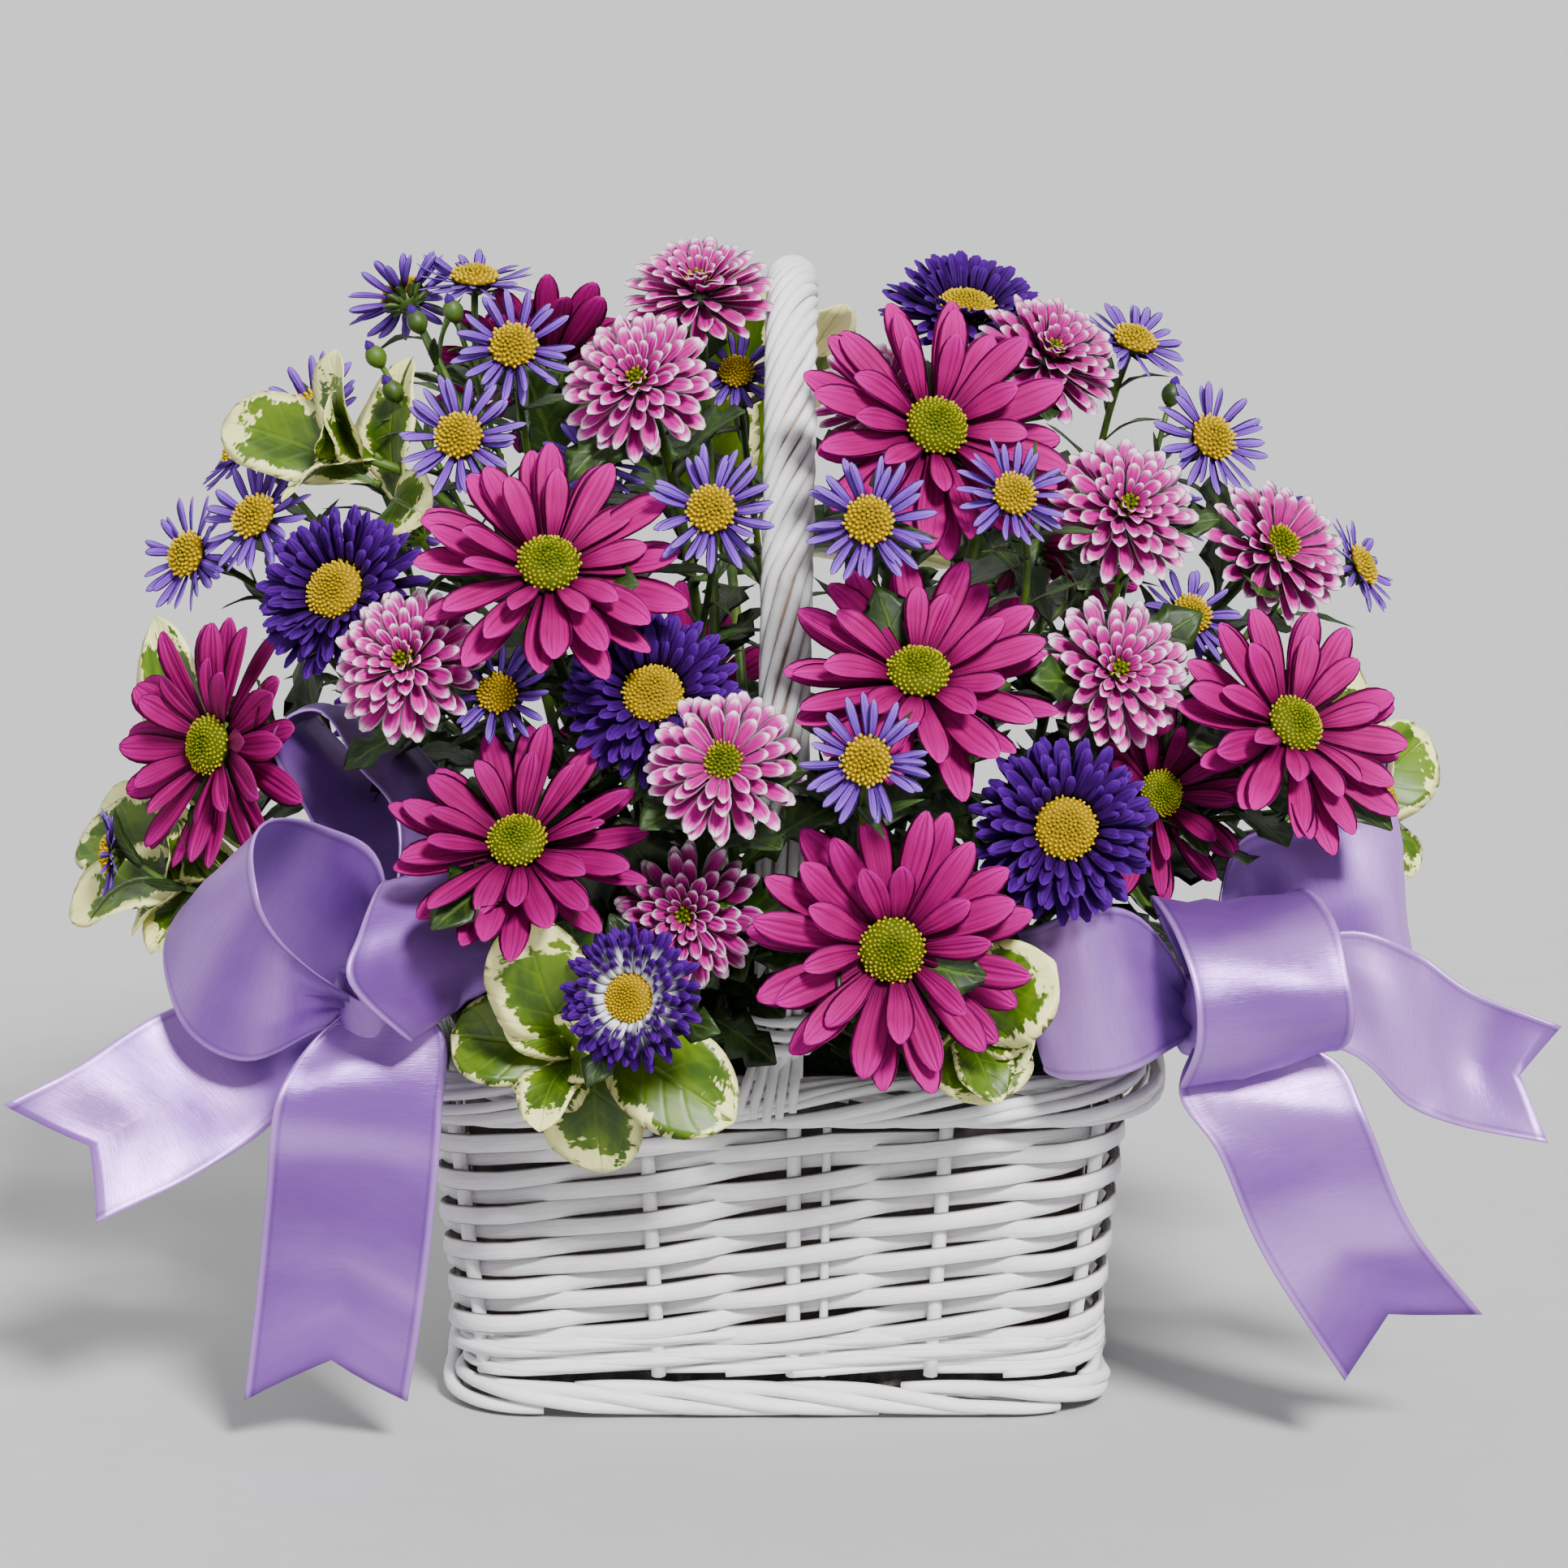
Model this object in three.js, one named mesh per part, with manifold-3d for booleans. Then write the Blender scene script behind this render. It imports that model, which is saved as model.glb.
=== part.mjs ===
// A flower basket: a white willow basket with a fixed arched handle, filled with daisies, cushion
// chrysanthemums, violet asters, small asters and variegated leaves that stand in a foam block,
// with a satin bow at each front corner. Millimetres, +Z up, front towards -Y, origin at the middle
// of the base on the plane that the basket stands on.
import * as THREE from 'three';
import Module from 'manifold-3d';

const wasm = await Module();
wasm.setup();

// ---------------------------------------------------------------- driving dimensions
const GAP = 0.35;               // clearance between pieces that touch

const BASE = { halfX: 73.5, halfY: 52.5, corner: 16, thick: 5 };
const BORDER = {
  swell: 0.8, between: [3, 1],
  foot: 0.6,                    // how far the flat underside reaches, as a share of half the width
  low: 0.35,
  high: 0.75,
  back: 0.8,                    // heights of the bulge in front and of the edge behind, as shares
};
const FOOT = { halfX: 78, halfY: 57, corner: 20, width: 8, bottom: 0, top: 9 };
const WALL = {
  bottomX: 79, bottomY: 58, topX: 85, topY: 64, corner: 20,
  thick: 5, relief: 1.5, rows: 5, stakes: 18, insideCount: 24, bottom: FOOT.top + GAP, top: 74,
};
const RIM = { halfX: 87, halfY: 65.5, corner: 22, width: 15, bottom: WALL.top + GAP, top: 87 };
const LINER = { halfX: 71, halfY: 50, flare: 5, corner: 15, thick: 1.2, bottom: BASE.thick + GAP, top: 85 };
const FOAM = {
  halfX: 68, halfY: 47, flare: 4, corner: 13, shoulder: 2,
  bottom: LINER.bottom + LINER.thick + GAP, top: 94,
};
const HANDLE = {
  halfSpan: 68, radius: 6.4, groove: 0.9, rods: 6, top: 275,
  lean: 3.6, squareness: 2.4, steps: 22, twist: 0.3,
};
const STEM = {
  daisy: 1.4, mum: 1.3, violet: 1.3, small: 0.9, leafy: 1.3, pick: 1, sides: 4,
  depth: 24,                    // how far a stem stands in the foam
  gather: 0.42,                 // how far in from its bloom a stem enters, as a share
  lean: 0.3,
  leanOver: 60,                 // a stem's foot leans by this share of its place over this height
  rise: 5,                      // straight length above the foam
  fork: 0.35,                   // how far up a spray's main stem forks, as a share
  forkOverlap: 1.5,             // how far a stalk starts inside the main stem
  curl: 0.35,                   // how far a stem's curve follows each of its ends, as a share
  bend: 0.45,                   // where a stalk bends towards its bloom, as a share
  marginX: 8,
  marginY: 7,                   // how near a stem comes to the foam's edge
  holeBelow: 1,
  holeAbove: 12,                // how far a hole goes on past a stem's foot and past the foam's top
};
const BLADE = 0.7;              // thickness of a petal
const LEAF = {
  widths: [0.3, 0.86, 1, 0.8, 0.42],   // from stalk to tip, as shares of the full width
  arch: 0.12,                   // how far a leaf arches, as a share of its length
  fold: 0.16,                   // how far its edges rise, as a share of its half width
  waveUp: 0.5,
  waveDown: 0.3,                // how far its edge waves
  waveWide: 0.04,               // how much its width waves, as a share
  rib: 0.6,                     // half its thickness at the midrib, in blades
};
const LEAFY_STEM = {
  out: 0.8,
  up: 25,                       // which way a leafy stem points at its crown
  nod: [0, -0.35, 0.5],         // how its leaves turn from that
  leafStart: 0.05,
  leafStep: 0.07,
  skirtStart: 0.08,
  skirtStep: 0.14,              // where leaves leave the stem, as shares of a piece of it
};
const RIBBON = {
  thick: 0.8, notch: 0.3, knot: 7, waist: 6, knotHalf: 9,
  pickGapLeft: 2.4, pickGapRight: 3.3, pickLean: 0.66, pickDepth: 0.7, pickRise: 0.24,
  pickInX: 9,
  pickInY: 8,                   // how far from the foam's corner a pick goes in
};

// The camera of the reference view, used to place what shows at a pixel of its 1932-pixel frame.
const VIEW = { middle: 966, mmPerPixel: 0.2, distance: 1600, elevation: 12, aimX: 1.6, aimZ: 144.4 };

// The dome of flowers on which the blooms sit.
const DOME = { centre: [0, 0, 100], radii: [165, 108, 178] };

const COLOURS = {
  willow: 0xedebe9, liner: 0x9aa09a, foam: 0x2f4a2a, wire: 0x4d5a46, ribbon: 0xaf94d0,
  daisy: 0xcd147d, disc: 0xb9b414, mum: 0xd772b8, violet: 0x46199a, gold: 0xebc30a,
  aster: 0x7d69d2, leaf: 0x6f9218,
};

// ---------------------------------------------------------------- placing
const rad = THREE.MathUtils.degToRad;
const vec = (x, y, z) => new THREE.Vector3(x, y, z);
const elevation = rad(VIEW.elevation);
const forward = vec(0, Math.cos(elevation), -Math.sin(elevation));
const upward = vec(0, Math.sin(elevation), Math.cos(elevation));
const eye = vec(VIEW.aimX, 0, VIEW.aimZ).addScaledVector(forward, -VIEW.distance);

/** The direction from the camera through a pixel. */
function pixelRay(px, py) {
  const scale = VIEW.mmPerPixel / VIEW.distance;
  return vec((px - VIEW.middle) * scale, 0, 0)
    .addScaledVector(upward, (VIEW.middle - py) * scale)
    .add(forward);
}

/** The point seen at a pixel that lies at depth y. */
function atDepth(px, py, y) {
  const ray = pixelRay(px, py);
  return eye.clone().addScaledVector(ray, (y - eye.y) / ray.y);
}

/** The point of the dome seen at a pixel, brought nearer to the camera by lift. */
function onDome(px, py, lift = 0) {
  const ray = pixelRay(px, py);
  const centre = vec(...DOME.centre);
  const shrink = (v) => vec(v.x / DOME.radii[0], v.y / DOME.radii[1], v.z / DOME.radii[2]);
  const from = shrink(eye.clone().sub(centre));
  const along = shrink(ray);
  const a = along.lengthSq();
  const b = from.dot(along);
  const c = from.lengthSq() - 1;
  const reach = (-b - Math.sqrt(Math.max(b * b - a * c, 0))) / a;
  return eye.clone().addScaledVector(ray, reach - lift / ray.length());
}

/** A unit vector turned by azimuth degrees to the right of the front and raised by elevation degrees. */
function facing(azimuth, raised) {
  const level = Math.cos(rad(raised));
  return vec(Math.sin(rad(azimuth)) * level, -Math.cos(rad(azimuth)) * level, Math.sin(rad(raised)));
}

/** Three axes with w along a direction and v as near to up as can be. */
function axes(direction) {
  const w = direction.clone().normalize();
  const up = Math.abs(w.z) > 0.95 ? vec(0, 1, 0) : vec(0, 0, 1);
  const u = up.clone().cross(w).normalize();
  return { u, v: w.clone().cross(u), w };
}

// ---------------------------------------------------------------- solids
/** A manifold solid from points and triangles, turned so that its faces point out. */
function solid(points, faces) {
  let volume = 0;
  for (const [a, b, c] of faces) {
    volume += points[a].dot(points[b].clone().cross(points[c]));
  }
  const turned = volume < 0 ? faces.map(([a, b, c]) => [a, c, b]) : faces;
  const mesh = new wasm.Mesh({
    numProp: 3,
    vertProperties: Float32Array.from(points.flatMap((p) => [p.x, p.y, p.z])),
    triVerts: Uint32Array.from(turned.flat()),
  });
  return new wasm.Manifold(mesh);
}

/**
 * The triangles of a band between two loops, which may have different numbers of points. Where both could
 * move on, the one with more points does, so that the two faces of a thin whorl are split alike.
 */
function band(startA, countA, startB, countB) {
  const faces = [];
  let i = 0;
  let j = 0;
  while (i < countA || j < countB) {
    const a = startA + (i % countA);
    const b = startB + (j % countB);
    const nextA = (i + 1) / countA;
    const nextB = (j + 1) / countB;
    const first = nextA < nextB || (nextA === nextB && countA >= countB);
    const stepA = j >= countB || (i < countA && first);
    if (stepA) {
      if (countA > 1) faces.push([a, startA + ((i + 1) % countA), b]);
      i += 1;
    } else {
      if (countB > 1) faces.push([a, startB + ((j + 1) % countB), b]);
      j += 1;
    }
  }
  return faces;
}

/** A solid whose skin runs from loop to loop. Its end loops are single points, or it joins up. */
function skin(loops, joined = false) {
  const points = loops.flat();
  const starts = [];
  let start = 0;
  for (const loop of loops) {
    starts.push(start);
    start += loop.length;
  }
  const faces = [];
  const last = joined ? loops.length : loops.length - 1;
  for (let k = 0; k < last; k += 1) {
    const next = (k + 1) % loops.length;
    faces.push(...band(starts[k], loops[k].length, starts[next], loops[next].length));
  }
  return solid(points, faces);
}

const middleOf = (loop) => loop.reduce((sum, p) => sum.add(p), vec(0, 0, 0)).divideScalar(loop.length);

/** A skin whose first and last loops are closed by flat ends. */
function capped(loops) {
  return skin([[middleOf(loops[0])], ...loops, [middleOf(loops.at(-1))]]);
}

/** Joins solids that overlap into one. */
function fuse(solids) {
  return solids.reduce((whole, piece) => whole.add(piece));
}

/** Rings of a round bar along a path, with the first corner kept as near to start as it goes. */
function barRings(path, radii, sides, start) {
  const rings = [];
  let side = start;
  path.forEach((point, k) => {
    const from = path[Math.max(k - 1, 0)];
    const to = path[Math.min(k + 1, path.length - 1)];
    const along = to.clone().sub(from).normalize();
    side = side.clone().addScaledVector(along, -side.dot(along)).normalize();
    const other = along.clone().cross(side);
    const radius = Array.isArray(radii) ? radii[k] : radii;
    const ring = [];
    for (let i = 0; i < sides; i += 1) {
      const turn = (2 * Math.PI * i) / sides;
      ring.push(point.clone().addScaledVector(side, radius * Math.cos(turn))
        .addScaledVector(other, radius * Math.sin(turn)));
    }
    rings.push(ring);
  });
  return rings;
}

/** A loop of points round the w axis of a bloom: radius and height as functions of the point's number. */
function loopRound(origin, frame, count, radiusOf, heightOf) {
  const loop = [];
  for (let i = 0; i < count; i += 1) {
    const turn = (2 * Math.PI * i) / count;
    const radius = radiusOf(i);
    loop.push(origin.clone()
      .addScaledVector(frame.u, radius * Math.cos(turn))
      .addScaledVector(frame.v, radius * Math.sin(turn))
      .addScaledVector(frame.w, heightOf(i, radius)));
  }
  return loop;
}

// ---------------------------------------------------------------- stems
/** Where a stem enters the top of the foam, below a point of the dome. */
function foamEntry(point, nudge = [0, 0]) {
  const clampTo = (value, limit) => THREE.MathUtils.clamp(value, -limit, limit);
  return vec(
    clampTo(STEM.gather * point.x, FOAM.halfX - STEM.marginX) + nudge[0],
    clampTo(STEM.gather * point.y, FOAM.halfY - STEM.marginY) + nudge[1],
    FOAM.top,
  );
}

/** The straight foot of a stem in the foam, as its lowest point and its direction. */
function foamFoot(entry) {
  const way = vec(entry.x * STEM.lean, entry.y * STEM.lean, STEM.leanOver).normalize();
  return { root: entry.clone().addScaledVector(way, -STEM.depth), way };
}

const foamHoles = [];

/** A path out of the foam that ends at a bloom's back, arriving along its axis. */
function stemPath(entry, end, axis, radius, steps = 2, via = null) {
  const { root, way } = foamFoot(entry);
  foamHoles.push({ root, way, radius });
  const rise = entry.clone().addScaledVector(way, STEM.rise);
  if (via) return [root, ...new THREE.QuadraticBezierCurve3(rise, vec(...via), end).getPoints(steps)];
  const reach = end.distanceTo(rise);
  const curve = new THREE.CubicBezierCurve3(
    rise,
    rise.clone().addScaledVector(way, STEM.curl * reach),
    end.clone().addScaledVector(axis, -STEM.curl * reach),
    end,
  );
  return [root, ...curve.getPoints(steps)];
}

/** A path from a fork to a bloom's back, bent towards via where the straight way is taken. */
function pedicelPath(fork, end, axis, via) {
  const reach = end.distanceTo(fork);
  const bend = via ? vec(...via) : end.clone().addScaledVector(axis, -STEM.bend * reach);
  return new THREE.QuadraticBezierCurve3(fork, bend, end).getPoints(via ? 3 : 2);
}

// ---------------------------------------------------------------- blooms
/** The two edges, under and over, of a flat whorl of petals. */
function whorl(bloom, pattern, petals, radius, cone, height) {
  const count = pattern.length * petals;
  const slope = Math.tan(rad(cone));
  const radiusOf = (i) => radius * pattern[i % pattern.length];
  const under = loopRound(bloom.at, bloom.frame, count, radiusOf, (i, r) => height + r * slope - BLADE / 2);
  const over = loopRound(bloom.at, bloom.frame, count, radiusOf, (i, r) => height + r * slope + BLADE / 2);
  return [under, over];
}

const ring = (bloom, count, radius, height) => (
  loopRound(bloom.at, bloom.frame, count, () => radius, () => height));
const tip = (bloom, height) => [bloom.at.clone().addScaledVector(bloom.frame.w, height)];

/** A bloom's stem as closed rings that end just behind the bloom. */
function stemRings(bloom, path, radius, sides = STEM.sides) {
  const rings = barRings(path, radius, sides, bloom.frame.u);
  const first = rings.at(-1);
  const lead = first.map((p) => p.clone().sub(bloom.at).dot(bloom.frame.u));
  const shift = lead.indexOf(Math.max(...lead));
  const turned = rings.map((loop) => [...loop.slice(shift), ...loop.slice(0, shift)]);
  return [[middleOf(turned[0])], ...turned];
}

// Heights are along a bloom's axis from the middle of its lowest whorl; a pattern gives the reach of the
// points of one petal as shares of the whorl's radius. The waist, seat and disc of a daisy or a violet
// aster are shares of the bloom's radius too.
const DAISY = {
  petals: 8, outer: [0.5, 0.96, 1], inner: [0.9, 0.42, 0.86], cone: 8, innerCone: 24, innerShare: 0.93,
  innerHeight: 1.4, calyx: 5, calyxHeight: -2.4, seatSides: 8, waist: 0.253, waistHeight: 1.2, seat: 0.253,
  seatHeight: 2.6, back: 5, disc: 0.223, discRise: 3.4,
};
const VIOLET = {
  petals: 10, outer: [0.7, 1], inner: [1, 0.66], cone: 10, innerCone: 32, innerShare: 0.82,
  innerHeight: 1.6, calyx: 5, calyxHeight: -2.2, seatSides: 10, waist: 0.348, waistHeight: 1.4, seat: 0.348,
  seatHeight: 3, back: 5, disc: 0.304, discRise: 2.8,
};
const MUM = {
  petals: 8, outer: [0.82, 1], cone: 6, waist: 0.62, waistHeight: 3.4, tips: 0.86, tipsHeight: 6.4,
  heart: 0.5, heartHeight: 8.2, eye: 0.3, eyeHeight: 10.4, eyeDip: 1.2, back: 4.5,
};
const SMALL = {
  petals: 8, outer: [0.44, 1], cone: 10, disc: 5.5, discFoot: 1.6, discShoulder: 3.4, discTop: 3.9, back: 3,
};

/** Two whorls of petals round a seat for the disc, on a stem. */
function twoWhorls(bloom, path, stemRadius, shape) {
  const innerRadius = bloom.radius * shape.innerShare;
  return skin([
    ...stemRings(bloom, path, stemRadius),
    ring(bloom, 6, shape.calyx, shape.calyxHeight),
    ...whorl(bloom, shape.outer, shape.petals, bloom.radius, shape.cone, 0),
    ring(bloom, shape.seatSides, bloom.radius * shape.waist, shape.waistHeight),
    ...whorl(bloom, shape.inner, shape.petals, innerRadius, shape.innerCone, shape.innerHeight),
    ring(bloom, shape.seatSides, bloom.radius * shape.seat, shape.seatHeight),
    tip(bloom, shape.seatHeight),
  ]);
}

/** A daisy: blunt petals round a seat for the disc, on its stem. */
const daisy = (bloom, path) => twoWhorls(bloom, path, STEM.daisy, DAISY);

/** A dense violet aster: pointed petals round a seat for the disc, on its stem. */
const violetAster = (bloom, path) => twoWhorls(bloom, path, STEM.violet, VIOLET);

/** A cushion chrysanthemum: two whorls of short petals round a domed heart with a small eye. */
function cushionMum(bloom, path) {
  const count = MUM.outer.length * MUM.petals;
  const r = bloom.radius;
  const reach = (i) => r * MUM.tips * (i % 2 ? MUM.outer[1] : MUM.outer[0]);
  return skin([
    ...stemRings(bloom, path, STEM.mum),
    ...whorl(bloom, MUM.outer, MUM.petals, r, MUM.cone, 0),
    ring(bloom, 8, r * MUM.waist, MUM.waistHeight),
    loopRound(bloom.at, bloom.frame, count, reach, () => MUM.tipsHeight),
    ring(bloom, 8, r * MUM.heart, MUM.heartHeight),
    ring(bloom, 8, r * MUM.eye, MUM.eyeHeight),
    tip(bloom, MUM.eyeHeight - MUM.eyeDip),
  ]);
}

/** A small aster: one whorl of narrow petals round a domed disc. */
function smallAster(bloom, path) {
  return skin([
    ...stemRings(bloom, path, STEM.small, 3),
    ...whorl(bloom, SMALL.outer, SMALL.petals, bloom.radius, SMALL.cone, 0),
    ring(bloom, 6, SMALL.disc, SMALL.discFoot),
    ring(bloom, 6, SMALL.disc * 0.7, SMALL.discShoulder),
    tip(bloom, SMALL.discTop),
  ]);
}

/** A domed disc of florets that sits in a bloom's seat. */
function discDome(bloom, shape) {
  const radius = bloom.radius * shape.disc;
  const rise = shape.discRise;
  const low = shape.seatHeight + GAP;
  return skin([
    tip(bloom, low),
    ring(bloom, 6, radius, low),
    ring(bloom, 6, radius * 0.96, low + 0.55 * rise),
    ring(bloom, 6, radius * 0.6, low + rise),
    tip(bloom, low + 0.9 * rise),
  ]);
}

const KINDS = {
  daisy: { make: daisy, radius: 34, back: DAISY.back, stem: STEM.daisy },
  violet: { make: violetAster, radius: 23, back: VIOLET.back, stem: STEM.violet },
  mum: { make: cushionMum, radius: 19, back: MUM.back, stem: STEM.mum },
  small: { make: smallAster, radius: 15.5, back: SMALL.back, stem: STEM.small },
};

// Each bloom: what it is, where its middle shows in the reference view (or its place in millimetres
// for the blooms behind), how far it stands in front of the dome, which way it faces, and its size.
const BLOOMS = {
  daisy_1: { kind: 'daisy', pixel: [675, 703], lift: 8, face: [8, 42] },
  daisy_2: { kind: 'daisy', pixel: [1150, 532], lift: 2, face: [18, 34], nudge: [5, 5] },
  daisy_3: { kind: 'daisy', pixel: [1131, 838], lift: -1, face: [5, 50], nudge: [2, 9] },
  daisy_4: { kind: 'daisy', pixel: [1098, 1168], lift: 8, face: [3, 6], size: 1.03 },
  daisy_5: {
    kind: 'daisy', pixel: [1588, 898], lift: 14, face: [34, 34], size: 0.95, nudge: [4, 8],
    via: [100, -34, 142],
  },
  daisy_6: { kind: 'daisy', pixel: [268, 918], lift: -12, face: [-46, 12], size: 0.97 },
  daisy_7: { kind: 'daisy', pixel: [639, 1044], lift: 4, face: [-6, 44], size: 0.94 },
  daisy_8: { kind: 'daisy', place: [-58, 48, 240], face: [-170, 40], size: 0.9 },
  daisy_9: { kind: 'daisy', pixel: [1424, 978], lift: -15, face: [26, 14], size: 0.76, nudge: [4, -5] },
  daisy_10: { kind: 'daisy', place: [62, 84, 190], face: [150, 24] },
  daisy_11: { kind: 'daisy', place: [-26, 98, 144], face: [-170, 6], nudge: [-6, 0] },
  violet_1: { kind: 'violet', pixel: [420, 733], lift: -5, face: [-24, 30] },
  violet_2: { kind: 'violet', pixel: [805, 862], lift: -9, face: [0, 34], nudge: [2, 8] },
  violet_3: { kind: 'violet', pixel: [1310, 1022], lift: 1, face: [8, 16], size: 1.03 },
  violet_4: {
    kind: 'violet', pixel: [780, 1230], lift: 14, face: [-18, 14], size: 0.8, via: [-24, -78, 105],
  },
  violet_5: { kind: 'violet', pixel: [1190, 392], lift: -62, face: [20, 66], nudge: [-3, 0] },
  violet_6: { kind: 'violet', place: [-96, 74, 150], face: [-130, 14] },
  mum_1: { kind: 'mum', pixel: [862, 372], lift: -10, face: [-6, 62] },
  mum_2: { kind: 'mum', pixel: [790, 480], lift: 0, face: [-14, 34] },
  mum_3: { kind: 'mum', pixel: [507, 822], lift: 8, face: [-18, 26] },
  mum_4: { kind: 'mum', pixel: [893, 948], lift: 14, face: [-4, 30] },
  mum_5: { kind: 'mum', pixel: [850, 1126], lift: -12, face: [-10, 10], size: 0.96 },
  mum_6: { kind: 'mum', pixel: [1380, 635], lift: 4, face: [18, 34] },
  mum_7: { kind: 'mum', pixel: [1370, 832], lift: -1, face: [14, 24] },
  mum_8: { kind: 'mum', pixel: [1565, 683], lift: -6, face: [36, 38] },
  mum_9: { kind: 'mum', pixel: [1285, 450], lift: -22, face: [30, 46] },
  mum_10: { kind: 'mum', place: [26, 68, 228], face: [175, 40] },
  mum_11: { kind: 'mum', place: [112, 70, 140], face: [125, 16] },
  small_1: { kind: 'small', pixel: [500, 370], lift: -30, face: [-150, 34] },
  small_2: { kind: 'small', pixel: [585, 350], lift: -24, face: [10, 78] },
  small_3: { kind: 'small', pixel: [633, 430], lift: -6, face: [0, 34] },
  small_4: { kind: 'small', pixel: [567, 540], lift: 4, face: [-8, 30] },
  small_5: { kind: 'small', pixel: [388, 512], lift: -6, face: [-30, 20] },
  small_6: { kind: 'small', pixel: [318, 640], lift: 0, face: [-34, 34] },
  small_7: { kind: 'small', pixel: [237, 685], lift: -4, face: [-46, 20] },
  small_8: { kind: 'small', pixel: [300, 556], lift: -22, face: [-80, 40], size: 0.9 },
  small_9: { kind: 'small', pixel: [877, 630], lift: 8, face: [-4, 26] },
  small_10: { kind: 'small', pixel: [1070, 643], lift: 20, face: [4, 22], via: [20, -48, 238] },
  small_11: { kind: 'small', pixel: [1247, 612], lift: 22, face: [20, 30], size: 0.9, via: [72, -66, 205] },
  small_12: { kind: 'small', pixel: [1068, 938], lift: 26, face: [0, 12], via: [18, -98, 138] },
  small_13: { kind: 'small', pixel: [614, 856], lift: -1, face: [-6, 24], size: 0.82 },
  small_14: { kind: 'small', pixel: [1465, 760], lift: -12, face: [26, 34], size: 0.85 },
  small_15: { kind: 'small', pixel: [1395, 425], lift: -20, face: [34, 60], size: 0.95 },
  small_16: { kind: 'small', pixel: [1490, 543], lift: -6, face: [32, 30] },
  small_17: { kind: 'small', pixel: [1672, 700], lift: -20, face: [70, 28], size: 0.9 },
  small_18: { kind: 'small', pixel: [735, 570], lift: -22, face: [-4, 50], size: 0.9 },
  small_19: { kind: 'small', pixel: [908, 462], lift: -46, face: [-4, 40], size: 0.75 },
  small_20: { kind: 'small', pixel: [1700, 985], lift: -20, face: [80, 10], size: 0.85 },
  small_21: {
    kind: 'small', pixel: [140, 1052], lift: 26, face: [-86, 0], size: 0.76, via: [-136, -56, 118],
  },
  small_22: { kind: 'small', place: [-92, 62, 196], face: [-130, 40] },
  small_23: { kind: 'small', place: [30, 96, 146], face: [170, 10] },
  small_24: { kind: 'small', place: [96, 52, 206], face: [120, 44] },
  small_25: { kind: 'small', place: [-52, 90, 178], face: [-160, 26] },
};

/** A bloom's place, axes and size worked out from its row of the table. */
function bloomNamed(name) {
  const row = BLOOMS[name];
  const kind = KINDS[row.kind];
  const at = row.pixel ? onDome(...row.pixel, row.lift) : vec(...row.place);
  const axis = facing(...row.face);
  const radius = kind.radius * (row.size ?? 1);
  return { ...kind, name, at, axis, frame: axes(axis), radius, nudge: row.nudge, via: row.via };
}

const backOf = (bloom) => bloom.at.clone().addScaledVector(bloom.axis, -bloom.back);

/** A bloom on its own stem in the foam. */
function singleBloom(bloom) {
  const entry = foamEntry(bloom.at, bloom.nudge);
  const steps = bloom.via ? 3 : 2;
  return bloom.make(bloom, stemPath(entry, backOf(bloom), bloom.axis, bloom.stem, steps, bloom.via));
}

// Sprays: blooms whose stalks branch from one main stem.
const SPRAYS = {
  mum_spray_top: { blooms: ['mum_1', 'mum_2'], nudge: [2, -4] },
  mum_spray_left: { blooms: ['mum_3'] },
  mum_spray_centre: { blooms: ['mum_4', 'mum_5'] },
  mum_spray_right: { blooms: ['mum_6', 'mum_7', 'mum_8'] },
  mum_spray_back: { blooms: ['mum_9', 'mum_10', 'mum_11'] },
  aster_spray_top: { blooms: ['small_1', 'small_2', 'small_3', 'small_4'] },
  aster_spray_left: { blooms: ['small_5', 'small_6', 'small_7', 'small_8', 'small_21'] },
  aster_spray_centre: { blooms: ['small_9', 'small_13', 'small_18'], nudge: [-11, 8] },
  aster_spray_middle: { blooms: ['small_10', 'small_11', 'small_12'], nudge: [6, 0], fork: 0.2 },
  aster_spray_right: {
    blooms: ['small_14', 'small_15', 'small_16', 'small_17', 'small_20'], nudge: [2, 19],
  },
  aster_spray_back: {
    blooms: ['small_19', 'small_22', 'small_23', 'small_24', 'small_25'], nudge: [12, -10],
  },
};

/** A spray: its main stem to a fork, and a stalk from the fork to each bloom. */
function spray(row) {
  const blooms = row.blooms.map(bloomNamed);
  if (blooms.length === 1) return singleBloom(blooms[0]);
  const centre = middleOf(blooms.map((bloom) => bloom.at.clone()));
  const entry = foamEntry(centre, row.nudge);
  const { root, way } = foamFoot(entry);
  const radius = STEM.leafy;
  foamHoles.push({ root, way, radius });
  const fork = entry.clone().lerp(centre, row.fork ?? STEM.fork);
  const path = [root, entry.clone().addScaledVector(way, STEM.rise), fork];
  const main = capped(barRings(path, radius, STEM.sides, vec(1, 0, 0)));
  const heads = blooms.map((bloom) => {
    const start = fork.clone().addScaledVector(way, -STEM.forkOverlap);
    return bloom.make(bloom, pedicelPath(start, backOf(bloom), bloom.axis, bloom.via));
  });
  return fuse([main, ...heads]);
}

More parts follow.
